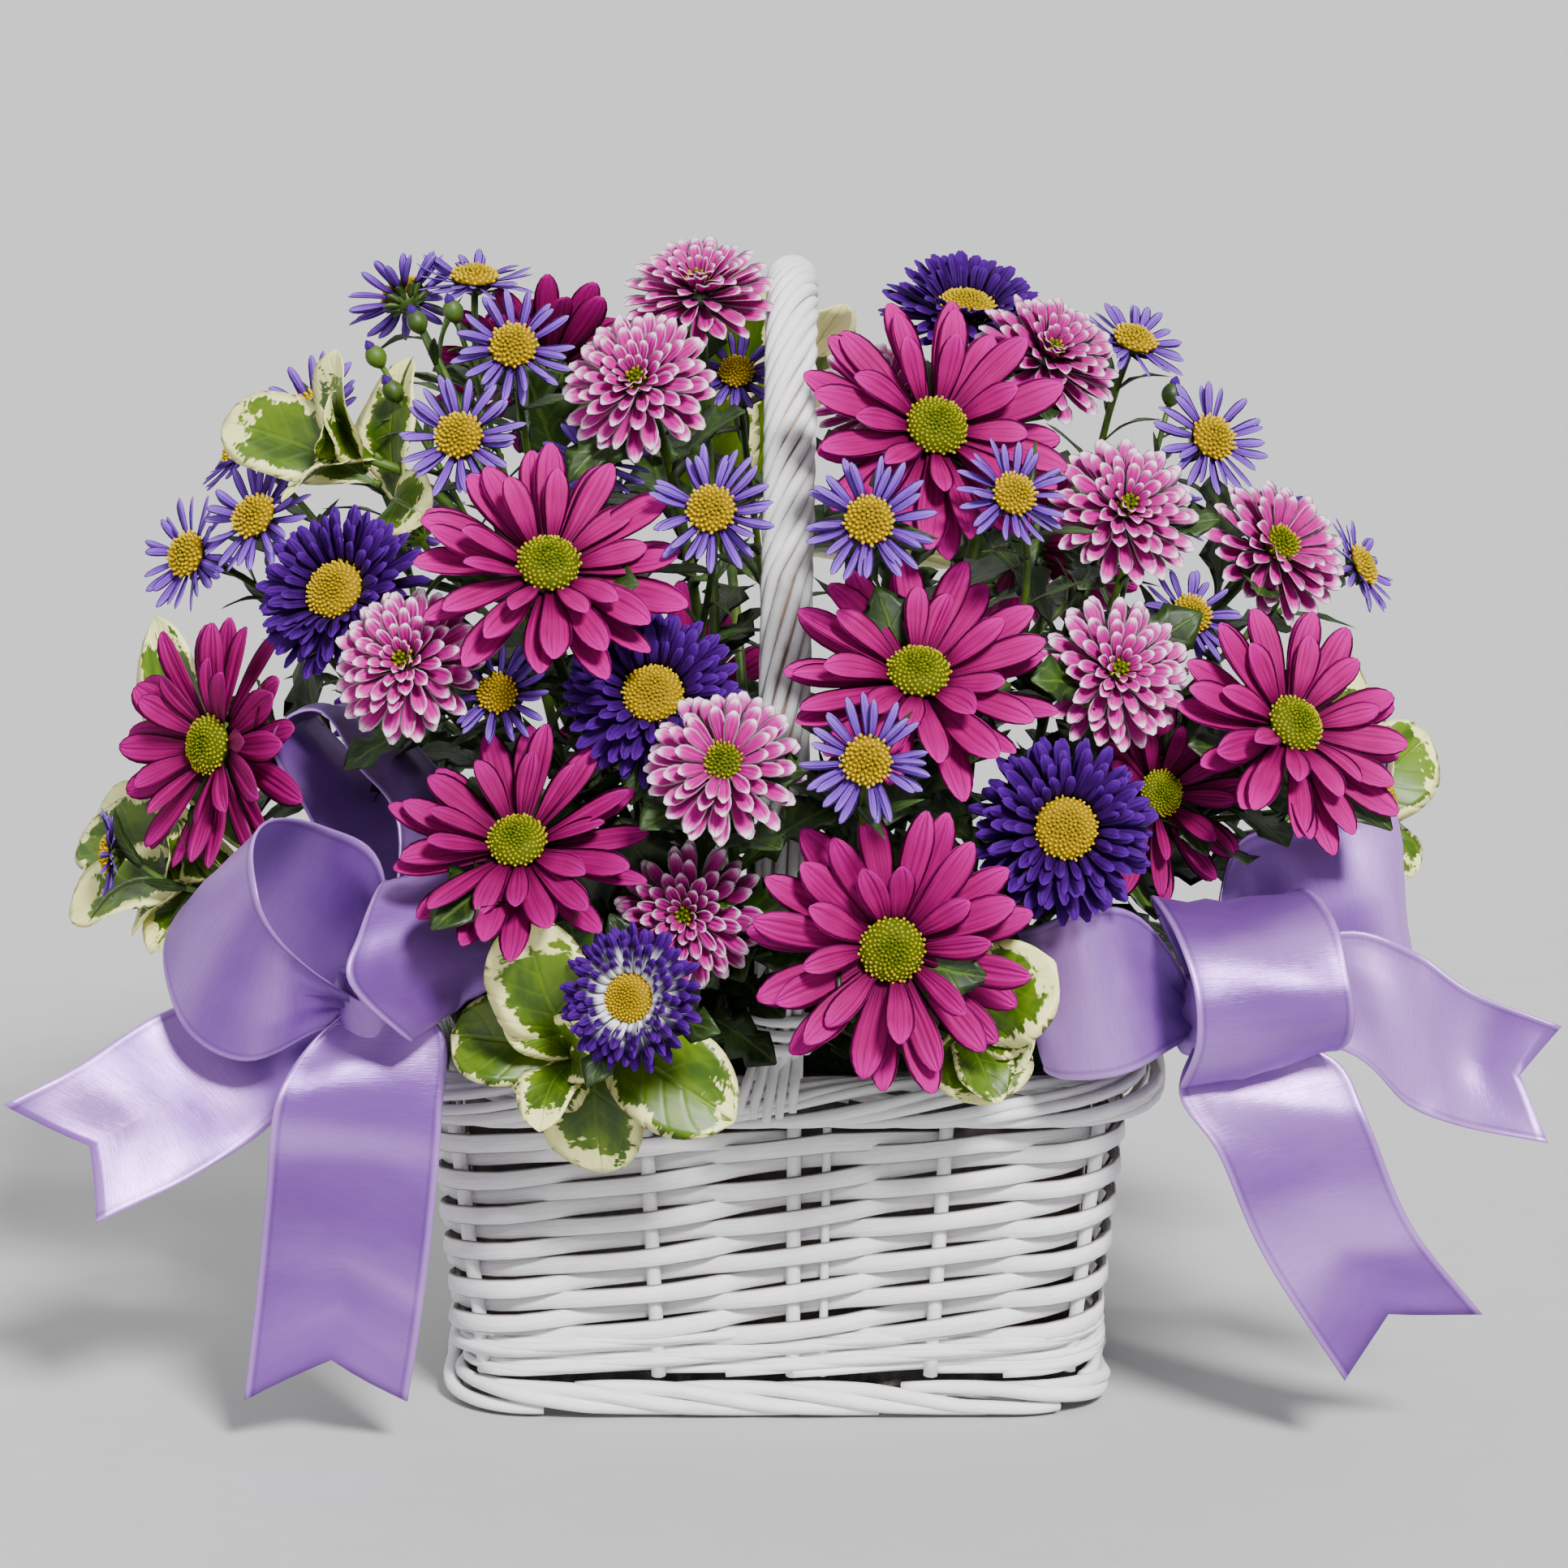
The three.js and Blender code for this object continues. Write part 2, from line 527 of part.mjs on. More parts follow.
// ---------------------------------------------------------------- leaves
/** A leaf from its stalk to its tip, folded along the midrib, with a waved edge. */
function leaf(base, point, width, faceDirection) {
  const along = point.clone().sub(base);
  const length = along.length();
  const side = along.clone().cross(faceDirection).normalize();
  const face = side.clone().cross(along).normalize();
  const rings = LEAF.widths.map((share, k) => {
    const t = (k + 0.35) / LEAF.widths.length;
    const rise = LEAF.arch * length * Math.sin(Math.PI * t);
    const rib = base.clone().lerp(point, t).addScaledVector(face, rise);
    const half = 0.5 * width * share * (k % 2 ? 1 + LEAF.waveWide : 1 - LEAF.waveWide);
    const edge = face.clone().multiplyScalar(LEAF.fold * half + (k % 2 ? LEAF.waveUp : -LEAF.waveDown));
    return [
      rib.clone().addScaledVector(side, half).add(edge),
      rib.clone().addScaledVector(face, BLADE * LEAF.rib),
      rib.clone().addScaledVector(side, -half).add(edge),
      rib.clone().addScaledVector(face, -BLADE * LEAF.rib),
    ];
  });
  return skin([[base], ...rings, [point]]);
}

// Leafy stems: where each starts its whorl of leaves, each leaf's tip and width, and the tips and
// widths of the leaves low on the stem that cover the foam.
const LEAFY = {
  pittosporum_front_left: {
    crown: [705, 1302, -100],
    leaves: [
      [646, 1126, -112, 26], [556, 1274, -92, 24], [640, 1352, -100, 28], [742, 1445, -92, 24],
      [905, 1382, -104, 26],
    ],
  },
  pittosporum_front_right: {
    crown: [1190, 1270, -92],
    nudge: [14, 4],
    leaves: [[1300, 1185, -104, 26], [1215, 1362, -100, 26], [1262, 1318, -96, 20]],
  },
  pittosporum_left: {
    crown: [252, 1075, -22],
    leaves: [
      [85, 1126, -18, 24], [100, 1030, 10, 22], [185, 1176, -34, 22], [128, 985, 26, 22],
      [190, 760, 4, 24],
    ],
    skirt: [[-110, -6, 101, 26], [-98, -36, 100, 24]],
  },
  pittosporum_top: {
    crown: [440, 560, -20],
    leaves: [[415, 430, -24, 22], [275, 520, 0, 22], [530, 640, -48, 20], [505, 440, -4, 22]],
  },
  pittosporum_right: {
    crown: [1640, 1010, -10],
    leaves: [[1745, 1080, -14, 24], [1760, 905, 4, 24], [1735, 1150, 16, 24], [1660, 800, 22, 22]],
    skirt: [[108, 4, 100, 28], [104, -34, 101, 24]],
    nudge: [0, -3],
  },
  pittosporum_back: {
    crown: [890, 640, 90],
    nudge: [0, -3],
    leaves: [
      [885, 318, 60, 26], [1040, 375, 62, 26], [870, 455, 66, 30], [1180, 700, 92, 26],
    ],
  },
};

/** A leafy stem: its stem in the foam, and the whorl of leaves at its crown. */
function leafySpray(row) {
  const crown = atDepth(...row.crown);
  const entry = foamEntry(crown, row.nudge);
  const outward = vec(crown.x * LEAFY_STEM.out, crown.y, LEAFY_STEM.up).normalize();
  const path = stemPath(entry, crown, outward, STEM.leafy);
  const stem = capped(barRings(path, STEM.leafy, STEM.sides, vec(1, 0, 0)));
  const towards = outward.clone().add(vec(...LEAFY_STEM.nod)).normalize();
  const leaves = row.leaves.map(([px, py, y, width], k) => {
    const base = crown.clone().lerp(path.at(-2), LEAFY_STEM.leafStart + LEAFY_STEM.leafStep * k);
    return leaf(base, atDepth(px, py, y), width, towards);
  });
  const skirt = (row.skirt ?? []).map(([x, y, z, width], k) => {
    const base = path[1].clone().lerp(path[2], LEAFY_STEM.skirtStart + LEAFY_STEM.skirtStep * k);
    return leaf(base, vec(x, y, z), width, vec(0, 0, 1));
  });
  return fuse([stem, ...leaves, ...skirt]);
}

// ---------------------------------------------------------------- basket
/** A loop round a rectangle with round corners, evenly spaced from the middle of its right side. */
function evenLoop(halfX, halfY, corner, count, z, outOf = () => 0) {
  const straightX = 2 * (halfX - corner);
  const halfStraightY = halfY - corner;
  const arc = (Math.PI / 2) * corner;
  const halfAround = straightX + 2 * halfStraightY + 2 * arc;
  const loop = [];
  for (let i = 0; i < count; i += 1) {
    const around = (2 * halfAround * i) / count;
    const sign = around < halfAround ? 1 : -1;
    const s = around % halfAround;
    let turn = 0;
    let [x, y] = [halfX, s];
    if (s > halfStraightY) {
      turn = Math.min((s - halfStraightY) / corner, Math.PI / 2);
      [x, y] = [halfX - corner + corner * Math.cos(turn), halfY - corner + corner * Math.sin(turn)];
    }
    if (s > halfStraightY + arc) {
      x = Math.max(halfX - corner - (s - halfStraightY - arc), corner - halfX);
    }
    const secondCorner = halfStraightY + arc + straightX;
    if (s > secondCorner) {
      turn = Math.PI / 2 + Math.min((s - secondCorner) / corner, Math.PI / 2);
      x = corner - halfX + corner * Math.cos(turn);
      y = halfY - corner + corner * Math.sin(turn) - Math.max(s - secondCorner - arc, 0);
    }
    const out = outOf(i);
    loop.push(vec(sign * (x + out * Math.cos(turn)), sign * (y + out * Math.sin(turn)), z));
  }
  return loop;
}

const CORNER_TURNS = [0, 30, 60, 90];
const QUARTERS = [[1, 1], [-1, 1], [-1, -1], [1, -1]];

/** A loop round a rectangle with round corners, with its points gathered at the corners. */
function cornerLoop(halfX, halfY, corner, z, between = [0, 1], outOf = () => 0) {
  const loop = [];
  QUARTERS.forEach(([signX, signY], quarter) => {
    const [middleX, middleY] = [signX * (halfX - corner), signY * (halfY - corner)];
    for (const turn of CORNER_TURNS) {
      const angle = rad(90 * quarter + turn);
      const reach = corner + outOf(loop.length);
      loop.push(vec(middleX + reach * Math.cos(angle), middleY + reach * Math.sin(angle), z));
    }
    const level = quarter % 2 === 0;
    const count = level ? between[0] : between[1];
    for (let k = 1; k <= count; k += 1) {
      const share = 1 - (2 * k) / (count + 1);
      const out = outOf(loop.length);
      loop.push(level
        ? vec(share * middleX, signY * (halfY + out), z)
        : vec(signX * (halfX + out), share * middleY, z));
    }
  });
  return loop;
}

/** The base panel: a flat woven plate. */
function basketBase() {
  const { halfX, halfY, corner, thick } = BASE;
  return skin([
    [vec(0, 0, 0)],
    cornerLoop(halfX, halfY, corner, 0),
    cornerLoop(halfX, halfY, corner, thick),
    [vec(0, 0, thick)],
  ]);
}

/** A border ring of twisted rods: its section swells and shrinks as the rods go round. */
function border({ halfX, halfY, corner, width, bottom, top }) {
  const half = width / 2;
  const swell = (i) => BORDER.swell * Math.cos((Math.PI * i) / 2);
  const at = (offset, z, wave = () => 0) => (
    cornerLoop(halfX + offset, halfY + offset, corner + offset, z, BORDER.between, wave));
  const rise = top - bottom;
  return skin([
    at(-half, bottom),
    at(half * BORDER.foot, bottom),
    at(half - BORDER.swell, bottom + BORDER.low * rise, swell),
    at(half - BORDER.swell, bottom + BORDER.high * rise, (i) => -swell(i)),
    at(0, top),
    at(-half, bottom + BORDER.back * rise),
  ], true);
}

/** The side wall: rows of strips that pass in front of one stake and behind the next. */
function basketWall() {
  const count = 2 * WALL.stakes;
  const rise = WALL.top - WALL.bottom;
  const outer = [];
  for (let row = 0; row < WALL.rows; row += 1) {
    for (const part of [0, 0.5]) {
      const t = (row + part) / WALL.rows;
      const weave = (i) => (part ? WALL.relief * Math.cos(Math.PI * (i / 2 + row)) : -WALL.relief);
      const halfX = THREE.MathUtils.lerp(WALL.bottomX, WALL.topX, t) - WALL.relief;
      const halfY = THREE.MathUtils.lerp(WALL.bottomY, WALL.topY, t) - WALL.relief;
      outer.push(evenLoop(halfX, halfY, WALL.corner, count, WALL.bottom + t * rise, weave));
    }
  }
  const inner = (halfX, halfY, z) => (
    evenLoop(halfX - WALL.thick, halfY - WALL.thick, WALL.corner - WALL.thick, WALL.insideCount, z));
  return skin([
    ...outer,
    evenLoop(WALL.topX - WALL.relief, WALL.topY - WALL.relief, WALL.corner, count, WALL.top),
    inner(WALL.topX, WALL.topY, WALL.top),
    inner(WALL.bottomX, WALL.bottomY, WALL.bottom),
  ], true);
}

/** The arched handle: rods laid side by side and twisted round as they rise. */
function basketHandle() {
  const { steps } = HANDLE;
  const rise = HANDLE.top - HANDLE.radius - RIM.top - GAP;
  const path = [];
  for (let k = 0; k <= steps; k += 1) {
    const turn = Math.PI * (k / steps);
    const soft = (value) => Math.sign(value) * Math.abs(value) ** (2 / HANDLE.squareness);
    const height = rise * soft(Math.sin(turn));
    const across = HANDLE.halfSpan * soft(Math.cos(turn));
    path.push(vec(HANDLE.lean * (height / rise), -across, RIM.top + GAP + height));
  }
  const count = 2 * HANDLE.rods;
  const rings = path.map((point, k) => {
    const from = path[Math.max(k - 1, 0)];
    const to = path[Math.min(k + 1, steps)];
    const along = k === 0 || k === steps ? vec(0, 0, k ? -1 : 1) : to.clone().sub(from).normalize();
    const side = vec(1, 0, 0).addScaledVector(along, -along.x).normalize();
    const other = along.clone().cross(side);
    const twist = HANDLE.twist * k;
    const loop = [];
    for (let i = 0; i < count; i += 1) {
      const turn = (2 * Math.PI * i) / count + twist;
      const radius = HANDLE.radius - (i % 2 ? HANDLE.groove : 0);
      loop.push(point.clone().addScaledVector(side, radius * Math.cos(turn))
        .addScaledVector(other, radius * Math.sin(turn)));
    }
    return loop;
  });
  return capped(rings);
}

/** The liner: an open-topped shell that keeps the water off the willow. */
function basketLiner() {
  const { halfX, halfY, flare, corner, thick, bottom, top } = LINER;
  return skin([
    [vec(0, 0, bottom)],
    cornerLoop(halfX, halfY, corner, bottom),
    cornerLoop(halfX + flare, halfY + flare, corner, top),
    cornerLoop(halfX + flare - thick, halfY + flare - thick, corner - thick, top),
    cornerLoop(halfX - thick, halfY - thick, corner - thick, bottom + thick),
    [vec(0, 0, bottom + thick)],
  ]);
}

/** The foam block, with a plain hole for each stem. Made last, when every stem is known. */
function floralFoam() {
  const { halfX, halfY, flare, corner, shoulder, bottom, top } = FOAM;
  const block = skin([
    [vec(0, 0, bottom)],
    cornerLoop(halfX, halfY, corner, bottom),
    cornerLoop(halfX + flare, halfY + flare, corner, LINER.top - shoulder),
    cornerLoop(halfX - shoulder, halfY - shoulder, corner, top),
    [vec(0, 0, top)],
  ]);
  const holes = foamHoles.map(({ root, way, radius }) => {
    const start = root.clone().addScaledVector(way, -STEM.holeBelow);
    const end = root.clone().addScaledVector(way, STEM.depth + STEM.holeAbove);
    return capped(barRings([start, end], (radius + GAP) * Math.SQRT2, 4, vec(1, 0, 0)));
  });
  return holes.reduce((foam, hole) => foam.subtract(hole), block);
}

// ---------------------------------------------------------------- ribbons
// Each ribbon piece is a strip between two edges. A station gives a point of each edge as the pixel
// where it shows and its depth.
const BOW_LEFT = {
  knot: [452, 1240, -80],
  loop_front: [
    [[440, 1228, -84], [452, 1252, -80]],
    [[380, 1190, -96], [392, 1268, -84]],
    [[340, 1152, -104], [305, 1302, -84]],
    [[315, 1105, -106], [228, 1262, -80]],
    [[308, 1050, -98], [200, 1165, -70]],
    [[335, 1017, -84], [256, 1098, -52]],
    [[400, 1022, -70], [312, 1180, -46]],
    [[466, 1062, -66], [384, 1244, -58]],
    [[474, 1196, -72], [438, 1258, -70]],
  ],
  loop_heart: [
    [[462, 1222, -78], [490, 1190, -72]],
    [[490, 1100, -74], [520, 1060, -66]],
    [[470, 1085, -88], [560, 1072, -80]],
    [[442, 1150, -104], [602, 1118, -84]],
    [[428, 1212, -110], [630, 1180, -88]],
    [[500, 1280, -102], [624, 1212, -84]],
    [[505, 1262, -88], [590, 1206, -78]],
    [[456, 1245, -80], [474, 1228, -74]],
  ],
  loop_back: [
    [[462, 1225, -78], [474, 1215, -72]],
    [[492, 1020, -62], [545, 1000, -40]],
    [[440, 935, -58], [520, 930, -28]],
    [[395, 882, -55], [440, 866, -30]],
    [[350, 892, -55], [384, 878, -28]],
    [[344, 934, -52], [418, 908, -24]],
    [[392, 1036, -50], [500, 1004, -32]],
    [[446, 1225, -70], [480, 1190, -64]],
  ],
  tail_side: [
    [[420, 1210, -76], [440, 1262, -76]],
    [[330, 1220, -66], [385, 1300, -72]],
    [[210, 1242, -66], [335, 1385, -74]],
    [[94, 1315, -76], [232, 1452, -84]],
    [[4, 1362, -84], [118, 1508, -90]],
  ],
  tail_down: [
    [[432, 1240, -82], [470, 1245, -78]],
    [[379, 1290, -88], [545, 1270, -84]],
    [[339, 1358, -96], [545, 1376, -90]],
    [[328, 1465, -92], [533, 1510, -90]],
    [[315, 1600, -86], [518, 1630, -86]],
    [[300, 1728, -84], [502, 1728, -84]],
  ],
};

const BOW_RIGHT = {
  knot: [1490, 1250, -78],
  loop_side: [
    [[1478, 1232, -78], [1482, 1268, -78]],
    [[1405, 1130, -88], [1445, 1292, -88]],
    [[1340, 1120, -96], [1385, 1322, -94]],
    [[1275, 1142, -88], [1310, 1331, -88]],
    [[1262, 1150, -78], [1285, 1318, -78]],
    [[1330, 1160, -72], [1350, 1300, -72]],
    [[1470, 1232, -72], [1476, 1262, -72]],
  ],
  loop_front: [
    [[1480, 1232, -78], [1502, 1232, -74]],
    [[1418, 1112, -80], [1590, 1105, -70]],
    [[1447, 1150, -98], [1640, 1132, -90]],
    [[1472, 1212, -108], [1662, 1205, -100]],
    [[1474, 1283, -108], [1668, 1262, -100]],
    [[1454, 1336, -96], [1654, 1298, -90]],
    [[1470, 1310, -84], [1600, 1284, -80]],
    [[1482, 1272, -78], [1516, 1266, -76]],
  ],
  loop_back: [
    [[1488, 1232, -76], [1494, 1262, -76]],
    [[1520, 1046, -58], [1560, 1200, -62]],
    [[1603, 1016, -54], [1650, 1208, -62]],
    [[1699, 993, -50], [1733, 1190, -54]],
    [[1704, 1000, -42], [1735, 1188, -42]],
    [[1620, 1030, -40], [1640, 1190, -44]],
    [[1486, 1234, -72], [1492, 1264, -72]],
  ],
  tail_side: [
    [[1494, 1232, -80], [1494, 1264, -80]],
    [[1640, 1150, -78], [1658, 1295, -82]],
    [[1739, 1170, -80], [1734, 1362, -86]],
    [[1815, 1222, -84], [1800, 1388, -92]],
    [[1924, 1264, -90], [1908, 1409, -98]],
  ],
  tail_down: [
    [[1480, 1268, -82], [1514, 1262, -80]],
    [[1452, 1348, -90], [1643, 1303, -84]],
    [[1500, 1420, -94], [1684, 1380, -88]],
    [[1558, 1550, -92], [1740, 1510, -88]],
    [[1656, 1700, -88], [1828, 1622, -86]],
  ],
};

/** The faces from one ring of six points of a strip to the next; both sides are split the same way. */
function stripBand(start) {
  const faces = [];
  for (let i = 0; i < 6; i += 1) {
    const [a, b] = [start + i, start + ((i + 1) % 6)];
    const [nextA, nextB] = [a + 6, b + 6];
    faces.push(...(i < 3 ? [[a, b, nextB], [a, nextB, nextA]] : [[a, b, nextA], [b, nextB, nextA]]));
  }
  return faces;
}

/** A strip of ribbon through its stations, smoothed between them; a tail ends in a notch. */
function ribbonStrip(stations, notched) {
  const edgeA = new THREE.CatmullRomCurve3(stations.map(([a]) => atDepth(...a)));
  const edgeB = new THREE.CatmullRomCurve3(stations.map(([, b]) => atDepth(...b)));
  const steps = stations.length - 1;
  const rings = [];
  let face = null;
  for (let k = 0; k <= steps; k += 1) {
    const t = k / steps;
    const a = edgeA.getPoint(t);
    const b = edgeB.getPoint(t);
    const along = edgeA.getTangent(t).add(edgeB.getTangent(t));
    const next = b.clone().sub(a).cross(along).normalize();
    face = face && next.dot(face) < 0 ? next.negate() : next;
    const half = face.clone().multiplyScalar(RIBBON.thick / 2);
    const centre = a.clone().lerp(b, 0.5);
    if (notched && k === steps) {
      centre.addScaledVector(along.normalize(), -RIBBON.notch * a.distanceTo(b));
    }
    const row = [a, centre, b];
    rings.push([
      ...row.map((p) => p.clone().add(half)),
      ...row.reverse().map((p) => p.clone().sub(half)),
    ]);
  }
  const ends = (loop) => (
    [[0, 1, 5], [1, 4, 5], [1, 2, 4], [2, 3, 4]].map((face3) => face3.map((i) => loop + i)));
  const points = rings.flat();
  const faces = [];
  for (let k = 0; k < steps; k += 1) {
    faces.push(...stripBand(6 * k));
  }
  faces.push(...ends(0).map(([a, b, c]) => [a, c, b]));
  faces.push(...ends(6 * steps));
  return solid(points, faces);
}

/** A bow: its loops and tails, gathered at the knot. */
function bow(rows) {
  const strips = Object.entries(rows)
    .filter(([name]) => name !== 'knot')
    .map(([name, stations]) => ribbonStrip(stations, name.startsWith('tail')));
  const knot = atDepth(...rows.knot);
  const gather = skin([
    [knot.clone().add(vec(0, 0, -RIBBON.knotHalf))],
    levelRing(knot, RIBBON.waist, 7, -RIBBON.waist),
    levelRing(knot, RIBBON.knot, 7, 0),
    levelRing(knot, RIBBON.waist, 7, RIBBON.waist),
    [knot.clone().add(vec(0, 0, RIBBON.knotHalf))],
  ]);
  return fuse([gather, ...strips]);
}

/** A level ring of points about a place. */
function levelRing(middle, radius, count, rise) {
  const level = { u: vec(1, 0, 0), v: vec(0, 1, 0), w: vec(0, 0, 1) };
  return loopRound(middle, level, count, () => radius, () => rise);
}

/** The wire pick that holds a bow: a stake in the foam that ends against the back of the knot. */
function bowPick(rows, gap) {
  const knot = atDepth(...rows.knot);
  const inward = vec(-Math.sign(knot.x) * RIBBON.pickLean, RIBBON.pickDepth, RIBBON.pickRise).normalize();
  const end = knot.clone().addScaledVector(inward, RIBBON.knot + gap);
  const entry = vec(
    Math.sign(knot.x) * (FOAM.halfX - RIBBON.pickInX),
    RIBBON.pickInY - FOAM.halfY,
    FOAM.top,
  );
  const path = stemPath(entry, end, inward.clone().negate(), STEM.pick);
  return capped(barRings(path, STEM.pick, STEM.sides, vec(1, 0, 0)));
}

// ---------------------------------------------------------------- the whole
const arrangement = new THREE.Group();

/** Adds a solid to the arrangement as a named mesh. */
function place(name, body, colour, roughness = 0.6) {
  const { vertProperties, triVerts } = body.getMesh();
  const geometry = new THREE.BufferGeometry();
  geometry.setAttribute('position', new THREE.Float32BufferAttribute(vertProperties, 3));
  geometry.setIndex(Array.from(triVerts));
  geometry.computeVertexNormals();
  const material = new THREE.MeshStandardMaterial({ color: colour, roughness, metalness: 0 });
  const mesh = new THREE.Mesh(geometry, material);
  mesh.name = name;
  arrangement.add(mesh);
}

place('basket_base', basketBase(), COLOURS.willow);
place('basket_foot', border(FOOT), COLOURS.willow);
place('basket_wall', basketWall(), COLOURS.willow);
place('basket_rim', border(RIM), COLOURS.willow);
place('basket_handle', basketHandle(), COLOURS.willow);
place('basket_liner', basketLiner(), COLOURS.liner, 0.4);

for (const name of Object.keys(BLOOMS)) {
  const bloom = bloomNamed(name);
  if (BLOOMS[name].kind === 'daisy') {
    place(name, singleBloom(bloom), COLOURS.daisy);
    place(`${name}_disc`, discDome(bloom, DAISY), COLOURS.disc);
  }
  if (BLOOMS[name].kind === 'violet') {
    place(name, singleBloom(bloom), COLOURS.violet);
  }
}
for (const name of ['violet_1', 'violet_2', 'violet_3', 'violet_4']) {
  place(`${name}_disc`, discDome(bloomNamed(name), VIOLET), COLOURS.gold);
}
for (const [name, row] of Object.entries(SPRAYS)) {
  place(name, spray(row), name.startsWith('mum') ? COLOURS.mum : COLOURS.aster);
}
for (const [name, row] of Object.entries(LEAFY)) {
  place(name, leafySpray(row), COLOURS.leaf);
}
place('ribbon_left', bow(BOW_LEFT), COLOURS.ribbon, 0.3);
place('ribbon_right', bow(BOW_RIGHT), COLOURS.ribbon, 0.3);
place('ribbon_left_pick', bowPick(BOW_LEFT, RIBBON.pickGapLeft), COLOURS.wire, 0.5);
place('ribbon_right_pick', bowPick(BOW_RIGHT, RIBBON.pickGapRight), COLOURS.wire, 0.5);
place('floral_foam', floralFoam(), COLOURS.foam, 0.95);

export default arrangement;
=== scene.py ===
import logging
import math
from collections.abc import Sequence
from dataclasses import dataclass
from enum import Enum
from functools import lru_cache

import bpy
import numpy as np
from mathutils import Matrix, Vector


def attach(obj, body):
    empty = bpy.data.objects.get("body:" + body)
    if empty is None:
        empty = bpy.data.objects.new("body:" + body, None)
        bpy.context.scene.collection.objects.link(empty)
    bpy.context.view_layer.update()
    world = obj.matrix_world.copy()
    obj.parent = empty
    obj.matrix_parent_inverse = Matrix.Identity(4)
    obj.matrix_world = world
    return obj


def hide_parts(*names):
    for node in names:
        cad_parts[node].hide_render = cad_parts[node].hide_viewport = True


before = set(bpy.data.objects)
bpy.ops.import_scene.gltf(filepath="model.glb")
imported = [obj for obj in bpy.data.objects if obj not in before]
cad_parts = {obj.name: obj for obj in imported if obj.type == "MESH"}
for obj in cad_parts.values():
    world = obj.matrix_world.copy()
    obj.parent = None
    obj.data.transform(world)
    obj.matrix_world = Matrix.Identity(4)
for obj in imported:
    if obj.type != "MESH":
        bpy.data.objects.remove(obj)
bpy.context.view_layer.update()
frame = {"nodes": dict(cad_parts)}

Array = np.ndarray
Chance = np.random.Generator
Material = bpy.types.Material
Socket = bpy.types.NodeSocket
Numbers = Sequence[float]

MM = 0.001                  # the tables are in millimetres and the scene is in metres
MM_PER_READING = 10.0       # the finishes of rods, strips and ribbons count centimetres along them
GOLDEN_TURN = 2.399963      # the angle between neighbouring florets of a disc
PETALS, FLORETS, GREEN, LEAVES = range(4)      # the finishes of a bloom's piece, in their order
LEAFY_GREEN, LEAFY_BLADE = range(2)            # those of a leafy stem
ONLY_FINISH = 0                                # that of a piece with one finish
UPWARDS = np.array([0.0, 0.0, 1.0])
ROOT = "root"

log = logging.getLogger("flower_basket")


# ------------------------ small geometry
def unit(v: Array) -> Array:
    """One vector, or each row of an array of them, at length one."""
    return v / np.maximum(np.linalg.norm(v, axis=-1, keepdims=True), 1e-9)


def mix(a: Array | float, b: Array | float, share: Array | float) -> Array | float:
    """The value that lies share of the way from a to b."""
    return a + (b - a) * share


def ease(low: float, high: float, value: Array) -> Array:
    """A smooth step from 0 at low to 1 at high."""
    t = np.clip((value - low) / (high - low), 0.0, 1.0)
    return t * t * (3.0 - 2.0 * t)


def walked_along(path: Array) -> Array:
    """How far along a path each of its points lies."""
    return np.concatenate([[0.0], np.cumsum(np.linalg.norm(np.diff(path, axis=0), axis=1))])


def full_circle(count: int) -> Array:
    """Evenly spaced angles that go once round."""
    return 2 * math.pi * np.arange(count) / count


def spokes(u: Array, v: Array, turn: Array) -> Array:
    """The directions at the given angles from one axis towards another."""
    return u * np.cos(turn)[:, None] + v * np.sin(turn)[:, None]


def facing(azimuth: float, raised: float) -> Array:
    """A unit vector turned to the right of the front by azimuth degrees and raised by the other angle."""
    a, e = math.radians(azimuth), math.radians(raised)
    return np.array([math.sin(a) * math.cos(e), -math.cos(a) * math.cos(e), math.sin(e)])


def bloom_axes(direction: Array) -> Array:
    """Three axes as rows, with the last along a direction and the second as near to up as can be."""
    w = unit(np.asarray(direction, float))
    up = np.array([0.0, 1.0, 0.0]) if abs(w[2]) > 0.95 else np.array([0.0, 0.0, 1.0])
    u = unit(np.cross(up, w))
    return np.array([u, np.cross(w, u), w])


def bezier(points: Sequence[Array], steps: int) -> Array:
    """Points along a quadratic or cubic Bezier curve.

    Args:
        points: its three or four control points.
        steps: how many stretches it is cut into.

    Returns:
        The steps + 1 points.
    """
    t = np.linspace(0.0, 1.0, steps + 1)[:, None]
    order = len(points) - 1
    total = np.zeros((steps + 1, 3))
    for k, point in enumerate(points):
        total += math.comb(order, k) * (1.0 - t) ** (order - k) * t ** k * point
    return total


def through(points: Sequence[Numbers], per_span: int) -> Array:
    """A smooth line through points.

    Args:
        points: the places that it passes.
        per_span: how many stretches lie between neighbouring places.

    Returns:
        The points of the line.
    """
    p = np.asarray(points, float)
    p = np.vstack([2 * p[0] - p[1], p, 2 * p[-1] - p[-2]])
    t = (np.arange(per_span) / per_span)[:, None]
    out = []
    for k in range(1, len(p) - 2):
        a, b, c, d = p[k - 1:k + 3]
        out.append(0.5 * (2 * b + (c - a) * t + (2 * a - 5 * b + 4 * c - d) * t ** 2
                          + (3 * b - a - 3 * c + d) * t ** 3))
    return np.vstack([*out, p[-2:-1]])


